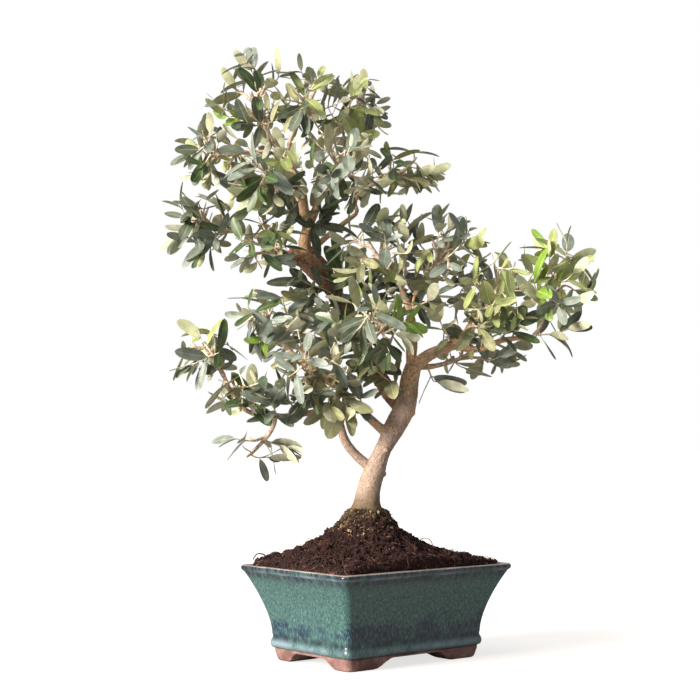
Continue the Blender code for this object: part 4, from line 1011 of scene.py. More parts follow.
# %% Lay out the limbs
limbs, seats = {}, {}
at_tip = {MASSES[name][0]: i for i, name in enumerate(MASS_NAMES) if MASSES[name][1] == 1.0}
for name, (foot, tip, points) in LIMBS.items():
    path = smooth_path(points)
    if name in at_tip:
        path = end_at_space(path, at_tip[name])
        seats[at_tip[name]] = (path[-1], unit(path[-1] - path[-3]))
    limbs[name] = (path, limb_radii(name, path, foot, tip))
print(len(seats), "masses sit on the tip of a limb")

# %% [markdown]
# The other masses are carried from the side of a limb. A bough leaves it along the limb's own direction,
# bends over towards the mass, and is less than two thirds as thick as the limb there. Where the limb passes
# so close that no bough would show, the mass's stem starts on the limb itself.

# %% Lay out the boughs
BOUGH_BEND_AT, BOUGH_BEND, BOUGH_SHARE = 0.35, 0.22, 0.62
BOUGH_MOST, BOUGH_TAPER, BOUGH_LEAST = 0.0034, 0.66, 0.016
for index, mass in enumerate(MASS_NAMES):
    carrier, share = MASSES[mass][:2]
    if share == 1.0:
        continue
    start, run = share_point(limbs[carrier][0], share)
    radius = np.interp(share, np.linspace(0, 1, len(limbs[carrier][1])), limbs[carrier][1])
    far = CENTRES[index] - start
    aside = run - far * (run @ far) / (far @ far)
    bend = start + BOUGH_BEND_AT * far + BOUGH_BEND * np.linalg.norm(far) * aside
    path = end_at_space(smooth_path((start, bend, CENTRES[index])), index)
    if lengths_along(path)[-1] - radius < BOUGH_LEAST:
        seats[index] = (start, unit(far - run * (far @ run)))
        continue
    foot = min(BOUGH_MOST, BOUGH_SHARE * radius)
    name = mass.replace("_leaves", "_bough")
    limbs[name] = (path, limb_radii(name, path, foot, foot * BOUGH_TAPER))
    seats[index] = (path[-1], unit(path[-1] - path[-3]))
print(len(limbs), "limbs and boughs,", len(seats), "stems to grow")

# %% [markdown]
# The trunk isn't round. It spreads into five buttresses at the soil, which go into the rings of its tube.
# The trunks and a few limbs also carry the stubs of pruned branches, as small balls.

# %% Tubes and stubs
BUTTRESSES = ((0.4, 1.0), (1.7, 0.7), (2.9, 0.9), (4.0, 0.8), (5.2, 0.6))  # (radians round, share of size)
BUTTRESS_SIZE, BUTTRESS_HEIGHT, BUTTRESS_NARROWNESS, BETWEEN_BUTTRESSES = 0.0042, 0.016, 4.5, 0.45
STUBS = (  # pruned branches: (limb, share of its length, radians round it, how far it stands out, radius)
    ("trunk", 0.29, 3.3, 0.0112, 0.0038), ("trunk", 0.44, 1.2, 0.0108, 0.0028),
    ("trunk", 0.72, 2.9, 0.0092, 0.0044), ("old_trunk", 0.30, 0.8, 0.0075, 0.0036),
    ("old_trunk", 0.86, 4.2, 0.0090, 0.0052), ("old_trunk", 0.62, 2.6, 0.0080, 0.0034),
    ("crown_stem", 0.35, 0.9, 0.0060, 0.0028), ("right_bough", 0.88, 4.0, 0.0045, 0.0034),
    ("left_low_limb", 0.72, 1.4, 0.0040, 0.0024))
THICK_LIMB, THICK_SIDES, THIN_SIDES = 0.008, 28, 14


def twig_axes(run):
    """Two directions square to this one."""
    side = unit(np.cross(run, (0.3, 0.2, 1.0)))
    return side, np.cross(run, side)


def buttress(angle, height):
    """How far the trunk stands out here from its round section."""
    near = math.exp(-max(0.0, height - SOIL_TOP) / BUTTRESS_HEIGHT)
    lobes = sum(
        share * math.exp(BUTTRESS_NARROWNESS * (math.cos(angle - at) - 1)) for at, share in BUTTRESSES)
    return BUTTRESS_SIZE * near * (lobes - BETWEEN_BUTTRESSES)


def limb_tube(name, path, radii, sides):
    rings = []
    for i, (point, radius) in enumerate(zip(path, radii)):
        run = unit(path[min(i + 1, len(path) - 1)] - path[max(i - 1, 0)])
        side, up = twig_axes(run)
        ring = []
        for k in range(sides):
            angle = k * math.tau / sides
            out = radius + (buttress(angle, point[2]) if name == "trunk" else 0.0)
            ring.append(point + out * (math.cos(angle) * side + math.sin(angle) * up))
        rings.append(np.array(ring))
    return closed_loft(name, rings, (0, 0, 0))


print(len(BUTTRESSES), "buttresses and", len(STUBS), "stubs")

# %% [markdown]
# All tubes and stubs go into one bmesh, each closed by itself. They may run through each other, because a
# voxel remesh only asks what is inside and what is outside.

# %% All the wood in one body
wood = bmesh.new()
for name, (path, radii) in limbs.items():
    wood.from_mesh(limb_tube(name, path, radii, THICK_SIDES if radii.max() > THICK_LIMB else THIN_SIDES))
for name, share, angle, out, radius in STUBS:
    point, run = share_point(limbs[name][0], share)
    side, up = twig_axes(run)
    knot = point + out * (math.cos(angle) * side + math.sin(angle) * up)
    bmesh.ops.create_uvsphere(
        wood, u_segments=14, v_segments=10, radius=radius, matrix=Matrix.Translation(Vector(knot)))
print("wood", len(wood.faces), "faces in separate tubes")

# %% [markdown]
# Voxels a little under a millimetre are fine enough for the thinnest limb. Easing the skin rounds the
# crotches and the stubs.

# %% One skin over all the limbs
BARK_VOXEL, BARK_EASES = 0.00093, 4
bmesh.ops.recalc_face_normals(wood, faces=wood.faces)
bark = melted(shown("bark", mesh_from(wood, "bark")), BARK_VOXEL, BARK_EASES)
print("bark", len(bark.data.polygons), "faces")

# %% [markdown]
# Bark follows its limb, so its relief and its colour need to know the limb's own directions. For every
# point of the skin, the nearest place on any path gives how far along the limb it is and how it lies round
# it. Those three numbers are kept as an attribute named grain. Noise that is read through it stretches
# along every limb.

# %% Directions on the skin
NEXT_LIMB = 0.37  # so that no two limbs read the same stretch of the noise
STEM_AGE = 0.25
ages = [1.0 if name == "old_trunk" else STEM_AGE if "stem" in name else 0.0 for name in limbs]
line = np.concatenate([path for path, _ in limbs.values()])
line_radii = np.concatenate([radii for _, radii in limbs.values()])
line_run = np.concatenate([np.gradient(path, axis=0) for path, _ in limbs.values()])
line_far = np.concatenate([lengths_along(path) + NEXT_LIMB * i for i, (path, _) in enumerate(limbs.values())])
line_old = np.concatenate([np.full(len(path), age) for age, (path, _) in zip(ages, limbs.values())])
points = mesh_points(bark.data)
nearest = np.concatenate([
    np.argmin(np.linalg.norm(chunk[:, None] - line, axis=2) - line_radii, axis=1)
    for chunk in np.array_split(points, 60)])
off = points - line[nearest]
run = line_run[nearest] / np.linalg.norm(line_run[nearest], axis=1)[:, None]
side = np.cross(run, (0.3, 0.2, 1.0))
side /= np.linalg.norm(side, axis=1)[:, None]
up = np.cross(run, side)
along = line_far[nearest] + (off * run).sum(axis=1)
grain = np.stack([(off * side).sum(axis=1), (off * up).sum(axis=1), along], axis=1)
old, thick = line_old[nearest], line_radii[nearest]
print("grain", grain.shape, "old wood", int((old == 1.0).sum()), "points")

# %% [markdown]
# The relief is a few tenths of a millimetre, and just over a millimetre on the old trunk: furrows along it,
# shallow dents, wrinkles across the limb, raised pores, and a crumbling surface on the oldest bark. Thin
# limbs get less of each.

# %% Relief of the bark
LENGTHWISE, CROSSWISE = (1, 1, 0.22), (0.35, 0.35, 1.6)


def by_thickness(full, least, most):
    """A share that grows with the limb's radius, up to this full size."""
    return np.clip(thick / full, least, most)


furrows = layered(grain * LENGTHWISE, (0.0011, 0.0032, 11))
relief = (0.02 + 0.93 * old) * furrows * by_thickness(0.009, 0.25, 1.1)
relief += layered(points, (0.00040, 0.0075, 12)) * by_thickness(0.010, 0.2, 1.0)
relief += layered(grain * CROSSWISE, (0.00028, 0.0030, 13)) * by_thickness(0.010, 0.25, 1.0)
raised_pores = np.clip(noise_at(grain, 0.0024, 14) - 0.38, 0, 1)
relief += 0.0011 * raised_pores * by_thickness(0.010, 0.2, 1.0)
relief += old * layered(points, (0.0005, 0.0022, 15))
points = points + mesh_points(bark.data, "normal") * relief[:, None]
points[:, 2] = np.maximum(points[:, 2], 0.1525)
move_points(bark.data, points)
keep(bark.data, "grain", grain, "FLOAT_VECTOR")
keep(bark.data, "old", old)
keep(bark.data, "foot", np.exp(-np.maximum(0.0, points[:, 2] - SOIL_TOP) / 0.030))
bark.data.transform(TREE_PLACE)
bark.data.shade_smooth()
print("relief", round(float(relief.min()) * 1000, 2), "to", round(float(relief.max()) * 1000, 2), "mm")

# %% [markdown]
# Young olive bark is smooth and pinkish beige, with small dark pores, and weathers to ochre in patches.
# Higher up the tree, where the crown shades it, the pale ochre is laid on as painted light. On the old trunk
# it has gone rough and red-brown. Bark is dead, dry fibre, so it hardly shines. Its fibres are a few
# hundredths of a millimetre, and here they are drawn at 2 mm.

# %% Tones of olive bark
BARK_FIBRE, BARK_STRETCH, BLOTCH = 0.0021, 0.55, 0.016
skin, tree, shader = new_material("olive_bark")
local = add(tree, "ShaderNodeAttribute", attribute_name="grain").outputs["Vector"]
place = add(tree, "ShaderNodeTexCoord").outputs["Object"]
drawn = add(tree, "ShaderNodeMapping", {"Vector": local, "Scale": (1, 1, BARK_STRETCH)}).outputs["Vector"]
fibrous = add(tree, "ShaderNodeTexNoise", {
    "Vector": drawn, "Scale": 1 / BARK_FIBRE, "Detail": 5.0, "Roughness": 0.72}).outputs["Fac"]
blotch = add(tree, "ShaderNodeTexNoise", {"Vector": place, "Scale": 1 / BLOTCH, "Detail": 3.0}).outputs["Fac"]
smooth = add(tree, "ShaderNodeValToRGB", {"Fac": fibrous}, stops=[
    (0.32, "#756154"), (0.43, "#998374"), (0.55, "#ac988a"), (0.72, "#c4b3a7")])
# These pale ochre tones serve both the real weathered patches and the painted light higher up.
weathered_and_painted_light = add(tree, "ShaderNodeValToRGB", {"Fac": fibrous}, stops=[
    (0.32, "#8d6d52"), (0.45, "#b99774"), (0.58, "#d4b18c"), (0.75, "#ead1b3")])
rough = add(tree, "ShaderNodeValToRGB", {"Fac": fibrous}, stops=[
    (0.32, "#554034"), (0.46, "#84644f"), (0.58, "#a18068"), (0.74, "#bfa48b")])
patch_and_painted_light = add(tree, "ShaderNodeMapRange", {
    "Value": blotch, "From Min": 0.44, "From Max": 0.62}).outputs["Result"]
# Between 0.235 m and 0.31 m up, the bark shifts from the smooth tones to the pale ochre ones. This is painted
# light: it lightens the upper trunk and limbs in the crown's shade and keeps the lower trunk darker.
height = add(tree, "ShaderNodeSeparateXYZ", {"Vector": place}).outputs["Z"]
painted_light_higher_up = add(tree, "ShaderNodeMapRange", {
    "Value": height, "From Min": 0.235, "From Max": 0.310, "To Min": -0.7, "To Max": 0.7}).outputs["Result"]
patch_and_painted_light = add(tree, "ShaderNodeMath", {0: patch_and_painted_light, 1: painted_light_higher_up}, operation="ADD", use_clamp=True).outputs[0]
young = add(tree, "ShaderNodeMix", {
    "Factor": patch_and_painted_light, "A": smooth.outputs[0], "B": weathered_and_painted_light.outputs[0]}, data_type="RGBA")
age = add(tree, "ShaderNodeAttribute", attribute_name="old").outputs["Fac"]
aged = add(tree, "ShaderNodeMix", {
    "Factor": age, "A": young.outputs["Result"], "B": rough.outputs[0]}, data_type="RGBA")
print("tones of bark", len(tree.nodes), "nodes")

# %% [markdown]
# Bark breathes through pores, small warts with a dark middle, 3 to 4 mm apart. A Voronoi texture gives spots
# that never run into each other. Peat and moss have stained the lowest few centimetres.

# %% Pores and the stained foot
PORE_APART = 0.0034
pores = add(tree, "ShaderNodeTexVoronoi", {"Vector": local, "Scale": 1 / PORE_APART}).outputs["Distance"]
pore = add(tree, "ShaderNodeMapRange", {
    "Value": pores, "From Min": 0.09, "From Max": 0.28, "To Min": 0.85, "To Max": 0.0}).outputs["Result"]
pored = add(tree, "ShaderNodeMix", {
    "Factor": pore, "A": aged.outputs["Result"], "B": linear("#6b4a38")}, data_type="RGBA")
stain = add(tree, "ShaderNodeAttribute", attribute_name="foot").outputs["Fac"]
stain = add(tree, "ShaderNodeMath", {0: stain, 1: fibrous}, operation="MULTIPLY").outputs[0]
stain = add(tree, "ShaderNodeMapRange", {
    "Value": stain, "From Min": 0.22, "From Max": 0.40, "To Max": 0.85}).outputs["Result"]
colour = add(tree, "ShaderNodeMix", {
    "Factor": stain, "A": pored.outputs["Result"], "B": linear("#5a4a30")}, data_type="RGBA")
bump = add(tree, "ShaderNodeBump", {"Height": fibrous, "Strength": 0.7, "Distance": 0.0005})
fill(shader, {
    "Base Color": colour.outputs["Result"], "Normal": bump.outputs["Normal"], "Roughness": 0.78,
    "Specular IOR Level": 0.3})
bark.data.materials.append(skin)
print("bark", len(tree.nodes), "nodes")

# %% [markdown]
# ## Growing the crown
# An olive grows in opposite pairs, each pair turned a quarter from the last. From the end of its bough, a
# stem runs through each mass's space, branches leave the stem to all sides, and leafy shoots leave the
# branches. All of it is the solids' rule carried two steps finer, with one seeded random stream for each
# mass. It could be left to a tree of Geometry Nodes, but a loop can look at the leaves that are there
# before it adds one.
#
# The masses aren't equally full. Light and age make some dense and leave others open or drooping.

# %% How full each mass is
SEED = 31
BRANCHES, SHOOTS, SPURS = 6, 12, 2
BRANCH_COUNTS = {
    "left_drooping_leaves": 2, "left_tip_leaves": 4, "left_low_leaves": 4, "far_right_leaves": 4}
SHOOT_COUNTS = {
    "middle_front_leaves": 13, "left_inner_leaves": 12, "middle_top_leaves": 12, "middle_right_leaves": 12,
    "middle_back_leaves": 11, "left_back_leaves": 12, "right_inner_leaves": 13, "low_front_leaves": 13,
    "left_high_leaves": 13, "inner_right_leaves": 11, "right_tip_leaves": 13, "front_leaves": 16,
    "top_middle_leaves": 13, "left_drooping_leaves": 1, "left_tip_leaves": 8, "low_left_leaves": 11,
    "peak_leaves": 10, "left_low_leaves": 10, "upper_left_leaves": 13, "far_right_leaves": 7,
    "right_low_leaves": 8}
NARROWER = {
    "upper_left_leaves": 0.84, "low_left_leaves": 0.76, "left_tip_leaves": 0.68, "right_tip_leaves": 0.88,
    "far_right_leaves": 0.86}
UPWARD = {
    "right_tip_leaves": 1.3, "right_inner_leaves": 0.8, "middle_right_leaves": 0.8, "peak_leaves": 0.8,
    "top_right_leaves": 0.8}
UPWARD_ELSEWHERE = 0.4
shoot_total = sum(SHOOT_COUNTS.get(name, SHOOTS) for name in MASS_NAMES)
print("up to", shoot_total, "shoots from rules")

# %% [markdown]
# Some shoots make the outline of this tree and no other. Leaders stand out of the crown, and sprouts come
# straight from the old wood and half hide it. Both are listed by where each ends.

# %% Leaders and sprouts
LEADERS = {
    "peak_leaves": ((-0.1400, 0.004, 0.664), (-0.1840, 0.010, 0.584)),
    "upper_left_leaves": ((-0.2080, 0.010, 0.556), (-0.2080, 0.000, 0.526)),
    "low_left_leaves": ((-0.2280, 0.004, 0.452), (-0.2080, -0.004, 0.510), (-0.1870, -0.010, 0.419)),
    "left_tip_leaves": ((-0.2110, -0.016, 0.315), (-0.1540, -0.022, 0.326)),
    "left_high_leaves": ((-0.1520, -0.028, 0.346),),
    "left_drooping_leaves": ((-0.1020, -0.014, 0.203), (-0.1720, -0.014, 0.246)),
    "top_right_leaves": ((-0.0020, 0.012, 0.612), (-0.0345, 0.010, 0.642)),
    "far_right_leaves": ((0.0740, 0.036, 0.537), (0.0420, 0.030, 0.554)),
    "middle_right_leaves": ((0.0860, -0.006, 0.484), (0.1240, -0.006, 0.456)),
    "right_tip_leaves": ((0.1840, 0.000, 0.466), (0.2200, 0.000, 0.454), (0.2420, 0.000, 0.392)),
    "right_low_leaves": ((0.1600, 0.030, 0.309),),
    "middle_top_leaves": ((0.0280, -0.012, 0.478), (0.0080, -0.030, 0.488)),
    "left_low_leaves": ((-0.1700, -0.020, 0.306), (-0.1600, -0.030, 0.318)),
}
SPROUTS = (  # (limb, share of its length, end of the shoot)
    ("old_trunk", 0.66, (-0.0860, -0.012, 0.414)), ("old_trunk", 0.55, (-0.0860, 0.010, 0.392)),
    ("middle_stem", 0.75, (0.0620, -0.014, 0.392)), ("right_bough", 0.62, (0.0660, -0.016, 0.372)),
    ("right_bough", 0.95, (0.1120, -0.030, 0.362)), ("right_arm", 0.35, (0.1130, -0.016, 0.366)),
    ("right_arm", 0.55, (0.1560, -0.022, 0.366)), ("middle_stem", 0.95, (0.0300, -0.020, 0.468)),
    ("right_arm", 0.88, (0.2060, -0.010, 0.356)), ("right_low_limb", 0.50, (0.0660, 0.004, 0.300)),
    ("left_high_limb", 0.70, (-0.0740, -0.046, 0.284)), ("left_high_limb", 0.60, (-0.0520, -0.040, 0.271)),
    ("left_high_limb", 0.50, (-0.0290, -0.042, 0.268)), ("left_low_arm", 0.30, (-0.0980, -0.036, 0.288)),
    ("left_low_arm", 0.22, (-0.0800, -0.004, 0.293)), ("left_low_limb", 0.97, (-0.0480, -0.030, 0.293)),
    ("trunk", 0.80, (-0.0040, -0.036, 0.316)), ("old_trunk", 0.14, (-0.0060, -0.030, 0.330)),
    ("old_trunk", 0.26, (-0.0330, -0.024, 0.352)), ("old_trunk", 0.34, (0.0060, -0.022, 0.372)),
    ("old_trunk", 0.42, (-0.0520, -0.016, 0.376)), ("old_trunk", 0.48, (-0.0140, -0.012, 0.404)),
    ("old_trunk", 0.60, (-0.0370, 0.002, 0.430)), ("crown_stem", 0.30, (-0.1040, -0.016, 0.492)),
    ("crown_stem", 0.24, (-0.0600, -0.014, 0.478)), ("left_high_limb", 0.25, (-0.0200, -0.030, 0.292)),
    ("left_low_arm", 0.45, (-0.1100, -0.040, 0.274)), ("left_low_arm", 0.60, (-0.1330, -0.036, 0.284)))
print(sum(len(ends) for ends in LEADERS.values()), "leaders,", len(SPROUTS), "sprouts")

# %% [markdown]
# A twig sets off in its parent's direction and bends over to its own, so it is one Bezier arc. Branches are
# dealt out evenly over a ball by the golden angle, as a plant deals out its shoots, so that no side is
# bare.

# %% Directions and arcs
UP = np.array((0.0, 0.0, 1.0))
GOLDEN_ANGLE = math.pi * (3 - math.sqrt(5))
ARC_HANDLE = 0.36


def ball_directions(count, turn):
    """Directions spread evenly over a ball, turned this far."""
    z = 1 - (2 * np.arange(count) + 1) / count
    angle = GOLDEN_ANGLE * np.arange(count) + turn
    ring = np.sqrt(1 - z * z)
    return np.stack([ring * np.cos(angle), ring * np.sin(angle), z], axis=1)


def arc(start, set_off, end, arrive, steps):
    """A line that sets off and arrives in the given directions."""
    reach = np.linalg.norm(end - start)
    first, last = start + set_off * reach * ARC_HANDLE, end - arrive * reach * ARC_HANDLE
    t = np.linspace(0.0, 1.0, steps)[:, None]
    return (1 - t) ** 3 * start + 3 * (1 - t) ** 2 * t * first + 3 * (1 - t) * t**2 * last + t**3 * end


def kept_inside(index, path):
    """The path as far as it stays in the mass's space. Its first third may cross a neighbour's."""
    inside = in_space(index, path)
    inside[: len(path) // 3] = True
    return path if inside.all() else path[: int(np.argmin(inside))]


print("golden angle", round(math.degrees(GOLDEN_ANGLE), 1), "degrees")

# %% [markdown]
# Every twig is kept as its path, its radius at the foot and at the tip, and its kind. A shoot that would
# leave the mass's space is cut back where it does.

# %% Stems, branches, spurs and shoots
BRANCH_REACH, SHOOT_REACH = (0.36, 0.52), (0.56, 0.80)
STEM_RADII, BRANCH_RADII = (0.0028, 0.0019), (0.0019, 0.0013)
SHOOT_RADII, SPUR_RADII, SPUR_LENGTH = (0.0012, 0.0006), (0.0009, 0.0006), (0.007, 0.019)
STEM_PAST_CENTRE, LEADER_LEAF = 0.22, 0.022


def grow_spur(branch, rng):
    """A short bare twig that strays from the side of a branch."""
    foot, run = share_point(branch, rng.uniform(0.2, 0.9))
    aim = unit(run + np.array([rng.uniform(-1.4, 1.4) for _ in range(3)]) + 0.5 * UP)
    tip = foot + aim * rng.uniform(*SPUR_LENGTH)
    return arc(foot, aim, tip, unit(aim + 0.4 * UP), 5), *SPUR_RADII, "spur"


def grow_branches(index, stem, ahead, rng):
    """The branches as (path, direction), and all the twigs that come with them."""
    centre, reach = CENTRES[index], REACHES[index]
    branches, twigs = [], []
    for way in ball_directions(BRANCH_COUNTS.get(MASS_NAMES[index], BRANCHES), rng.uniform(0, math.tau)):
        target = centre + reach * way * rng.uniform(*BRANCH_REACH)
        root, run = share_point(stem, 0.12 + 0.80 * (1 + way @ ahead) / 2)
        set_off = unit(run + 1.2 * unit(target - root))
        path = kept_inside(index, arc(root, set_off, target, unit(way + 0.3 * UP), 9))
        if len(path) > 4:
            branches.append((path, way))
            twigs.append((path, *BRANCH_RADII, "branch"))
        twigs += [grow_spur(path, rng) for _ in range(SPURS)]
    return branches, twigs


print("spurs", SPUR_LENGTH, "m long, branches reach", BRANCH_REACH, "of the way to the edge of a space")

# %% [markdown]
# A shoot leaves the branch that points most nearly its own way. Leaders stop short of their listed ends,
# because their last leaves reach on.

# %% All the twigs of a mass
def grow_twigs(index, rng):
    """The mass's twigs, from its stem to its leafy shoots."""
    start, along = seats[index]
    name, centre, reach = MASS_NAMES[index], CENTRES[index], REACHES[index]
    ahead = unit(centre - start)
    stem_end = centre + ahead * STEM_PAST_CENTRE * reach.min()
    stem = arc(start - along * 0.002, along, stem_end, unit(ahead + 0.25 * UP), 12)
    branches, twigs = grow_branches(index, stem, ahead, rng)
    tips = [np.array(tip) for tip in LEADERS.get(name, ())]
    targets = [tip - LEADER_LEAF * unit(tip - centre) for tip in tips]
    for way in ball_directions(SHOOT_COUNTS.get(name, SHOOTS), rng.uniform(0, math.tau)):
        targets.append(centre + reach * way * rng.uniform(*SHOOT_REACH) * NARROWER.get(name, 1.0))
    for target in targets:
        path, _ = max(branches, key=lambda branch: branch[1] @ unit(target - centre))
        root, run = share_point(path, rng.uniform(0.35, 0.98))
        lift = UPWARD.get(name, UPWARD_ELSEWHERE) * UP * rng.uniform(0.2, 1.0)
        set_off, arrive = unit(run + 1.5 * unit(target - root)), unit(unit(target - root) + lift)
        shoot = kept_inside(index, arc(root, set_off, target, arrive, 9))
        if len(shoot) > 3:
            twigs.append((shoot, *SHOOT_RADII, "shoot"))
    return [(stem, *STEM_RADII, "branch"), *twigs]


print("shoots reach", SHOOT_REACH, "of the way to the edge of a space")

# %% [markdown]
# Leaves spread wide at a shoot's foot and close up at its tip. They hang a little and twist on their stalks
# until their tops face the light, so each is turned up and out of the mass. Every try at a leaf strays a
# little further and is a little smaller than the one before.

# %% One try at a leaf
PAIR_EVERY, BARE_FOOT = 0.0100, 0.15
LEAF_LENGTH, LEAF_SIZES, LEAF_WIDTHS = 0.037, (0.58, 1.30, 0.98), (0.82, 1.30)
SPREAD_AT_FOOT, CLOSED_BY_TIP, TRIES, CLEARANCE = 58, 32, 7, 0.0036


def leaf_line(base, way, length):
    """Four points along a leaf, for looking where it lies."""
    return base + way * length * np.array((0.30, 0.55, 0.80, 1.0))[:, None]


def grow_leaf(point, run, light, turn, tip_share, attempt, rng):
    """One try at a leaf here, as (direction, which way its top faces, length)."""
    side, up = twig_axes(run)
    angle = turn + rng.uniform(-0.3, 0.3) * (1 + attempt)
    tilt = SPREAD_AT_FOOT - CLOSED_BY_TIP * tip_share + rng.uniform(-12, 12) * (1 + 0.4 * attempt)
    tilt = math.radians(tilt)
    out = math.cos(angle) * side + math.sin(angle) * up
    way = unit(math.cos(tilt) * run + math.sin(tilt) * out - UP * rng.uniform(-0.05, 0.55))
    stray = np.array([rng.uniform(-1, 1) for _ in range(3)])
    face = 0.6 * (math.sin(tilt) * run - math.cos(tilt) * out) + 0.45 * UP + 0.85 * light + 0.5 * stray
    return way, face, LEAF_LENGTH * rng.triangular(*LEAF_SIZES) * (1 - 0.05 * attempt)


def free_here(index, line, placed):
    """Whether a leaf lies in its mass's space and clear of the others. Sprouts have no space."""
    if index is not None and not in_space(index, line).all():
        return False
    if not placed:
        return True
    return np.linalg.norm(np.concatenate(placed)[:, None] - line[1:], axis=2).min() >= CLEARANCE


print("leaves keep", round(CLEARANCE * 1000, 1), "mm apart")

# %% [markdown]
# Pairs sit every 10 mm from the tip back, each a quarter turn on from the last. A leaf that would leave its
# mass's space or sit in another leaf is tried again, up to seven times in all, and then left out.

# %% Leaves in their pairs
def grow_leaves(index, twigs, rng):
    """The leaves of the shoots as (base, way, face, length, width to length, number of the shoot)."""
    leaves, placed = [], []
    for spray, (path, _, _, kind) in enumerate(twigs):
        if kind != "shoot":
            continue
        length = lengths_along(path)[-1]
        pairs = int((1 - BARE_FOOT) * length / PAIR_EVERY)
        turn = rng.uniform(0, math.tau)
        for order in range(pairs + 1):
            point, run = share_point(path, 1 - (pairs - order) * PAIR_EVERY / length)
            light = unit(point - (path[0] if index is None else CENTRES[index]))
            smaller = 0.72 if order == pairs and pairs > 2 else 1.0
            for half in (0.0, math.pi):
                place = (point, run, light, turn + order * math.pi / 2 + half, order / max(1, pairs))
                for attempt in range(TRIES):
                    way, face, size = grow_leaf(*place, attempt, rng)
                    line = leaf_line(point, way, size * smaller)
                    if free_here(index, line, placed):
                        leaves.append((point, way, face, size * smaller, rng.uniform(*LEAF_WIDTHS), spray))
                        placed.append(line[1:])
                        break
    return leaves


print("a pair of leaves every", round(PAIR_EVERY * 1000), "mm")

# %% [markdown]
# Each mass has a random stream of its own, so a change to one leaves the others as they were. The sprouts
# come last, straight from the old wood.

# %% Grow everything
all_twigs, all_leaves = [], []
for index in range(len(MASS_NAMES)):
    rng = random.Random(SEED + 31 * index)
    twigs = grow_twigs(index, rng)
    all_twigs += twigs
    all_leaves += [(MASS_NAMES[index], *leaf) for leaf in grow_leaves(index, twigs, rng)]
sprouts = []
for name, share, end in SPROUTS:
    start, _ = share_point(limbs[name][0], share)
    end = np.array(end)
    leave, arrive = unit(unit(end - start) + 0.4 * UP), unit(end - start + 0.02 * UP)
    sprouts.append((arc(start, leave, end, arrive, 10), *SHOOT_RADII, "shoot"))
all_twigs += sprouts
all_leaves += [("sprouts", *leaf) for leaf in grow_leaves(None, sprouts, random.Random(SEED))]
leaf_lengths = [leaf[4] * 1000 for leaf in all_leaves]
print(len(all_twigs), "twigs,", len(all_leaves), "leaves")
print("leaves", round(min(leaf_lengths)), "to", round(max(leaf_lengths)), "mm long")


# %% [markdown]
# A twig is a tapering rod along a path. Each path goes into one mesh as a chain of edges that knows its own
# thickness, and a Geometry Nodes tree sweeps a small ring along every chain.

# %% A tree that sweeps twigs
def sweep_tree(name):
    tree, asked = new_tree(name, (("Lines", "Geometry"), ("Sides", "Int"), ("Finish", "Material")), "Twigs")
    curves = add(tree, "GeometryNodeMeshToCurve", {"Mesh": asked["Lines"]}).outputs[0]
    thickness = add(tree, "GeometryNodeInputNamedAttribute", {
        "Name": "thickness"}, data_type="FLOAT").outputs["Attribute"]
    ring = add(tree, "GeometryNodeCurvePrimitiveCircle", {
        "Resolution": asked["Sides"], "Radius": 1.0}).outputs["Curve"]
    swept = add(tree, "GeometryNodeCurveToMesh", {
        "Curve": curves, "Profile Curve": ring, "Scale": thickness, "Fill Caps": True}).outputs[0]
    smooth = add(tree, "GeometryNodeSetShadeSmooth", {"Geometry": swept}).outputs[0]
    real = add(tree, "GeometryNodeRealizeInstances", {"Geometry": smooth}).outputs[0]
    painted = add(tree, "GeometryNodeSetMaterial", {"Geometry": real, "Material": asked["Finish"]}).outputs[0]
    add(tree, "NodeGroupOutput", {"Twigs": painted})
    return tree


def twig_lines(name, twigs):
    points, edges, thickness = [], [], []
    for path, thick, thin, _ in twigs:
        first = len(points)
        points += path.tolist()
        edges += [(first + i, first + i + 1) for i in range(len(path) - 1)]
        thickness += np.linspace(thick, thin, len(path)).tolist()
    mesh = bpy.data.meshes.new(name)
    mesh.from_pydata(points, edges, [])
    keep(mesh, "thickness", thickness)
    mesh.transform(TREE_PLACE)
    return mesh


sweep = sweep_tree("sweep_twigs")
print("sweep", len(sweep.nodes), "nodes")

# %% [markdown]
# The bark of one- and two-year-old wood is thin and almost smooth: pale grey-beige on branches, creamier
# and a little waxier on this year's shoots. Lenticels and old leaf scars mottle it every few millimetres.

# %% Twigs and their bark
TWIG_MOTTLE = 0.004


def twig_bark(name, dark, middle, light, roughness):
    material, tree, shader = new_material(name)
    place = add(tree, "ShaderNodeTexCoord").outputs["Object"]
    mottle = add(tree, "ShaderNodeTexNoise", {
        "Vector": place, "Scale": 1 / TWIG_MOTTLE, "Detail": 4.0}).outputs["Fac"]
    shade = add(tree, "ShaderNodeValToRGB", {"Fac": mottle}, stops=[
        (0.36, dark), (0.52, middle), (0.68, light)])
    bump = add(tree, "ShaderNodeBump", {"Height": mottle, "Strength": 0.4, "Distance": 0.0003})
    fill(shader, {"Base Color": shade.outputs[0], "Normal": bump.outputs["Normal"], "Roughness": roughness})
    return material


twig_pieces = []
branch_bark = twig_bark("branch_bark", "#a68f7d", "#cfb9a5", "#ebdccb", 0.75)
shoot_bark = twig_bark("shoot_bark", "#b9a68c", "#dccbb1", "#f1e6d3", 0.65)
for name, kinds, sides, finish in (
        ("fine_branches", ("branch",), 7, branch_bark), ("leafy_shoots", ("shoot", "spur"), 5, shoot_bark)):
    chosen = [twig for twig in all_twigs if twig[3] in kinds]
    lines = twig_lines(name + "_lines", chosen)
    twig_pieces.append(made_by(name, sweep, lines, {"Sides": sides, "Finish": finish}))
    print(name, len(chosen), "twigs,", len(twig_pieces[-1].data.polygons), "faces")

# %% [markdown]
# Two dead stalks stick out of the peat, a bent one in the left corner and a thinner one that bows over to
# the right of the trunk. They are rods along a path too, so the same tree sweeps them.

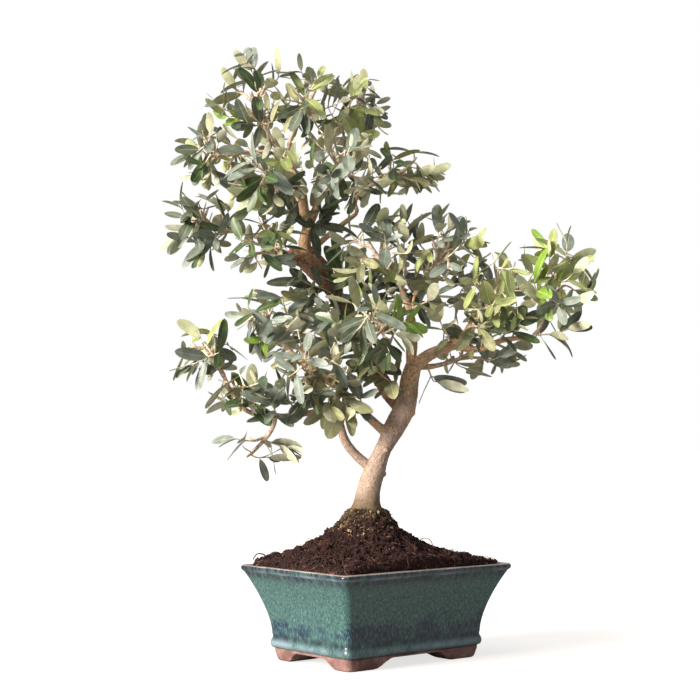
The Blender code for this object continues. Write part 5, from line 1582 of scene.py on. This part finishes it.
# %% Stray stalks
STALKS = (  # (radius, points along it)
    (0.0009, ((-0.1170, -0.012, 0.1060), (-0.1215, -0.012, 0.1125), (-0.1290, -0.013, 0.1135),
              (-0.1335, -0.013, 0.1075))),
    (0.0006, ((0.0430, -0.004, 0.1240), (0.0500, -0.008, 0.1300), (0.0575, -0.010, 0.1285),
              (0.0630, -0.012, 0.1170))))
STALK_TAPER = 0.7
stalk_lines = twig_lines("stalk_lines", [
    (smooth_path(points), radius, STALK_TAPER * radius, "stalk") for radius, points in STALKS])
stalks = made_by("stray_stalks", sweep, stalk_lines, {"Sides": 6, "Finish": tan})
print("stalks", len(stalks.data.polygons), "faces")

# %% [markdown]
# ## The leaves
# An olive leaf is a stiff, narrow blade with a short stalk, a sunken pale midrib and a waxy top. Its
# underside is silvery with fine scales. Each leaf is a closed shape of 44 faces: a top in three strips, the
# middle one the midrib, and an underside in two. A few shapes differ in how they fold along the midrib,
# bend back and twist.

# %% One leaf
TOP, MIDRIB, UNDERSIDE = 0, 1, 2
STATIONS = (  # half the blade's width at shares of its length
    (0.12, 0.062), (0.21, 0.110), (0.34, 0.150), (0.52, 0.168), (0.70, 0.160), (0.86, 0.124), (0.957, 0.072))
STALK, STALK_HALF, STALK_DEPTH, RIB_HALF, RIB_RISE, THICKNESS = 0.07, 0.017, 0.018, 0.012, 0.001, 0.010


def leaf_shape(name, fold, bend, twist):
    """A leaf of unit length along Y, its top up, with each face marked top, midrib or underside."""
    def place(x, y, z):
        z += fold * abs(x) - bend * y * y
        turn = twist * y
        return (x * math.cos(turn) - z * math.sin(turn), y, x * math.sin(turn) + z * math.cos(turn))

    points = [place(x, y, z) for y in (0.0, STALK)
              for x, z in ((-STALK_HALF, 0.010), (STALK_HALF, 0.010), (0.0, -STALK_DEPTH))]
    faces = [(0, 2, 1), (0, 1, 4, 3), (1, 2, 5, 4), (2, 0, 3, 5)]
    sides = [MIDRIB] * len(faces)
    for y, half in STATIONS:
        rib = RIB_HALF * (1.3 - y)
        points += [place(-half, y, 0.0), place(-rib, y, RIB_RISE), place(rib, y, RIB_RISE),
                   place(half, y, 0.0), place(0.0, y, -THICKNESS)]
    faces += [(3, 7, 6), (3, 4, 8, 7), (4, 9, 8), (3, 6, 10, 5), (4, 5, 10, 9)]
    for a in range(6, 6 + 5 * (len(STATIONS) - 1), 5):
        b = a + 5
        faces += [(a, a + 1, b + 1, b), (a + 1, a + 2, b + 2, b + 1), (a + 3, b + 3, b + 2, a + 2),
                  (a, b, b + 4, a + 4), (a + 3, a + 4, b + 4, b + 3)]
    last, tip = len(points) - 5, len(points)
    points.append(place(0.0, 1.0, 0.0))
    faces += [(last, last + 1, tip), (last + 1, last + 2, tip), (last + 2, last + 3, tip),
              (last, tip, last + 4), (last + 4, tip, last + 3)]
    sides += [TOP, MIDRIB, TOP, UNDERSIDE, UNDERSIDE] * (len(STATIONS) + 1)
    mesh = bpy.data.meshes.new(name)
    mesh.from_pydata(points, [], faces)
    keep(mesh, "side", sides, "INT", "FACE")
    mesh.shade_smooth()
    mesh.set_sharp_from_angle(angle=math.radians(60))
    return mesh


LEAF_FORMS = (  # (fold along the midrib, bend back, twist)
    (0.18, 0.04, 0.0), (0.30, 0.10, 0.25), (0.10, -0.06, -0.2), (0.38, 0.16, 0.1), (0.06, 0.02, -0.35),
    (0.24, -0.02, 0.4), (0.14, 0.22, -0.1))
leaf_shapes = shape_collection("leaf_shapes", [
    leaf_shape(f"leaf_{i}", *form) for i, form in enumerate(LEAF_FORMS)])


# %% [markdown]
# One Geometry Nodes tree sets a leaf on every point of a cloud. The cloud carries what the growing worked
# out: how the leaf is turned, how long and wide it is, and which shape it takes. The tree then gives the
# top, the midrib and the underside their own finish.

# %% A tree that sets the leaves
def leaf_tree(name):
    tree, asked = new_tree(name, (
        ("Cloud", "Geometry"), ("Shapes", "Collection"), ("Top", "Material"), ("Midrib", "Material"),
        ("Underside", "Material")), "Leaves")
    cloud = add(tree, "GeometryNodeMeshToPoints", {"Mesh": asked["Cloud"]}).outputs[0]
    turn, size, shape, side = [
        add(tree, "GeometryNodeInputNamedAttribute", {"Name": word}, data_type=kind).outputs["Attribute"]
        for word, kind in (
            ("turn", "FLOAT_VECTOR"), ("size", "FLOAT_VECTOR"), ("shape", "INT"), ("side", "INT"))]
    shapes = add(tree, "GeometryNodeCollectionInfo", {
        "Collection": asked["Shapes"], "Separate Children": True, "Reset Children": True}).outputs[0]
    turned = add(tree, "FunctionNodeEulerToRotation", {"Euler": turn}).outputs[0]
    held = add(tree, "GeometryNodeInstanceOnPoints", {
        "Points": cloud, "Instance": shapes, "Pick Instance": True, "Instance Index": shape,
        "Rotation": turned, "Scale": size}).outputs[0]
    real = add(tree, "GeometryNodeRealizeInstances", {"Geometry": held}).outputs[0]
    for number, word in ((TOP, "Top"), (MIDRIB, "Midrib"), (UNDERSIDE, "Underside")):
        chosen = add(tree, "FunctionNodeCompare", {
            "A": side, "B": number}, data_type="INT", operation="EQUAL").outputs[0]
        real = add(tree, "GeometryNodeSetMaterial", {
            "Geometry": real, "Selection": chosen, "Material": asked[word]}).outputs[0]
    add(tree, "NodeGroupOutput", {"Leaves": real})
    return tree


set_leaves = leaf_tree("set_leaves")
print("set_leaves", len(set_leaves.nodes), "nodes")

# %% [markdown]
# The tree wants a leaf's turn as Euler angles. They come from a matrix of the leaf's own axes: X across the
# blade, Y along it and Z out of its top.

# %% A point for each leaf
def leaf_cloud(name, leaves, seed):
    """A point for each leaf, with its turn, its size and a shape drawn at random."""
    rng = random.Random(seed)
    mesh = bpy.data.meshes.new(name)
    mesh.from_pydata([TREE_PLACE @ Vector(base) for _, base, *_ in leaves], [], [])
    turns, sizes = [], []
    for _, _, way, face, length, width, _ in leaves:
        wide = unit(np.cross(way, unit(face)))
        axes = Matrix(np.stack([wide, way, np.cross(wide, way)], axis=1).tolist())
        turns.append((TREE_PLACE.to_3x3() @ axes).to_euler())
        sizes.append((width * length, length, length))
    keep(mesh, "turn", turns, "FLOAT_VECTOR")
    keep(mesh, "size", sizes, "FLOAT_VECTOR")
    keep(mesh, "shape", [rng.randrange(len(LEAF_FORMS)) for _ in leaves], "INT")
    return mesh


print(len(LEAF_FORMS), "shapes to draw from")

# %% [markdown]
# Leaves of one shoot are of one age, so colour is dealt out by shoot. Most are dark grey-green, some bluer
# and some browner. The youngest shoots, most of them in masses that get the light, are yellow-green.

# %% Kinds of leaf and where they grow
KINDS = {  # top, its darker mottle, midrib, underside
    "dark": ("#586350", "#424b3c", "#82876e", "#b3b498"),
    "slate": ("#848f84", "#69746a", "#9aa391", "#b8baa2"),
    "deep": ("#50663b", "#3a4d2e", "#7b8963", "#b0b390"),
    "olive": ("#9a9a74", "#828260", "#abad86", "#bebf9e"),
    "young": ("#9ca76c", "#88935a", "#c0c594", "#c8cca4"),
    "bright": ("#83a23e", "#6d8c30", "#aebd72", "#b4bd7c"),
}
OLD_SHARES = {"dark": 0.31, "slate": 0.27, "deep": 0.20, "olive": 0.22}
SLATY_SHARES = {"dark": 0.30, "slate": 0.46, "deep": 0.15, "olive": 0.09}
YOUNG_SHARES = {
    "peak_leaves": 0.20, "top_middle_leaves": 0.18, "top_right_leaves": 0.45, "far_right_leaves": 0.45,
    "upper_left_leaves": 0.15, "low_left_leaves": 0.12, "middle_top_leaves": 0.22,
    "middle_right_leaves": 0.35, "middle_front_leaves": 0.22, "right_inner_leaves": 0.45,
    "right_tip_leaves": 0.75, "right_low_leaves": 0.20, "left_tip_leaves": 0.20,
    "left_drooping_leaves": 0.10}
YOUNG_ELSEWHERE, BRIGHT_SHARE = 0.08, 0.18


def kind_of(mass, spray):
    """The kind of all the leaves of one shoot, drawn from a stream of its own."""
    rng = random.Random(f"{mass} {spray}")
    if rng.random() < YOUNG_SHARES.get(mass, YOUNG_ELSEWHERE):
        return "bright" if rng.random() < BRIGHT_SHARE else "young"
    shares = SLATY_SHARES if "left" in mass or "front" in mass else OLD_SHARES
    return rng.choices(list(shares), list(shares.values()))[0]


leaves_of = {kind: [] for kind in KINDS}
for leaf in all_leaves:
    leaves_of[kind_of(leaf[0], leaf[-1])].append(leaf)
print({kind: len(leaves) for kind, leaves in leaves_of.items()})

# %% [markdown]
# The top of an olive leaf is leathery and has a thin wax, so it shines a little and softly. The underside
# is felted with silvery scales and is matt. The scales are a tenth of a millimetre, too fine to show, and
# are drawn at 1.2 mm. A mottle as wide as a leaf keeps two leaves of one kind from being the same colour.

# %% Skin of a leaf
LEAF_MOTTLE, LEAF_SCALES = 0.009, 0.0012


def toned(colour, share):
    """The hex colour with its three parts multiplied by this share."""
    return "#" + "".join(f"{min(255, round(int(colour[i:i + 2], 16) * share)):02x}" for i in (1, 3, 5))


def leaf_skin(name, light, dark, roughness, wax):
    material, tree, shader = new_material(name)
    place = add(tree, "ShaderNodeTexCoord").outputs["Object"]
    mottle = add(tree, "ShaderNodeTexNoise", {
        "Vector": place, "Scale": 1 / LEAF_MOTTLE, "Detail": 3.0}).outputs["Fac"]
    shade = add(tree, "ShaderNodeValToRGB", {"Fac": mottle}, stops=[(0.38, dark), (0.64, light)])
    scales = add(tree, "ShaderNodeTexNoise", {
        "Vector": place, "Scale": 1 / LEAF_SCALES, "Detail": 2.0}).outputs["Fac"]
    bump = add(tree, "ShaderNodeBump", {"Height": scales, "Strength": 0.18, "Distance": 0.0002})
    fill(shader, {
        "Base Color": shade.outputs[0], "Normal": bump.outputs["Normal"], "Roughness": roughness,
        "Coat Weight": wax, "Coat Roughness": 0.35})
    return material


print("a dark midrib's two tones", toned(KINDS["dark"][2], 1.05), toned(KINDS["dark"][2], 0.93))

# %% [markdown]
# Each kind of leaf becomes one piece with three finishes. The tops take both of their colours from the
# list, and the midribs and undersides take two tones of one colour.

# %% Set every leaf
leaf_pieces = []
for number, (kind, (top, mottle, rib, under)) in enumerate(KINDS.items()):
    cloud = leaf_cloud(kind + "_cloud", leaves_of[kind], number)
    leaf_pieces.append(made_by(kind + "_leaves", set_leaves, cloud, {
        "Shapes": leaf_shapes,
        "Top": leaf_skin(kind + "_leaf_top", top, mottle, 0.40, 0.15),
        "Midrib": leaf_skin(kind + "_leaf_midrib", toned(rib, 1.05), toned(rib, 0.93), 0.5, 0.1),
        "Underside": leaf_skin(kind + "_leaf_underside", toned(under, 1.06), toned(under, 0.90), 0.7, 0.0)}))
    print(kind, len(leaf_pieces[-1].data.polygons), "faces")

# %% [markdown]
# ## Join the frame
# Every piece rides on the one body, and the solids of the frame that it stands for are hidden. Each row
# also gives a slot for its finish, which nothing here reads.

# %% Ride and replace
mass_nodes = [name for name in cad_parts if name.endswith("_leaves")]
limb_nodes = [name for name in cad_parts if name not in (*mass_nodes, "pot", "pot_feet", "soil")]
for piece, nodes, slot in (
        (pot, ["pot"], "glaze"), (feet, ["pot_feet"], "bare_clay"), (mound, ["soil"], "soil"),
        (crumbs, [], "soil"), (fibres, [], "soil"), (tufts, [], "soil"), (stalks, [], "soil"),
        (bark, limb_nodes, "bark"), *[(piece, mass_nodes, "bark") for piece in twig_pieces],
        *[(piece, mass_nodes, "leaves") for piece in leaf_pieces]):
    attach(piece, "root")
    if nodes:
        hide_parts(*nodes)
    print(piece.name, sum(len(face.vertices) - 2 for face in piece.data.polygons), "triangles")
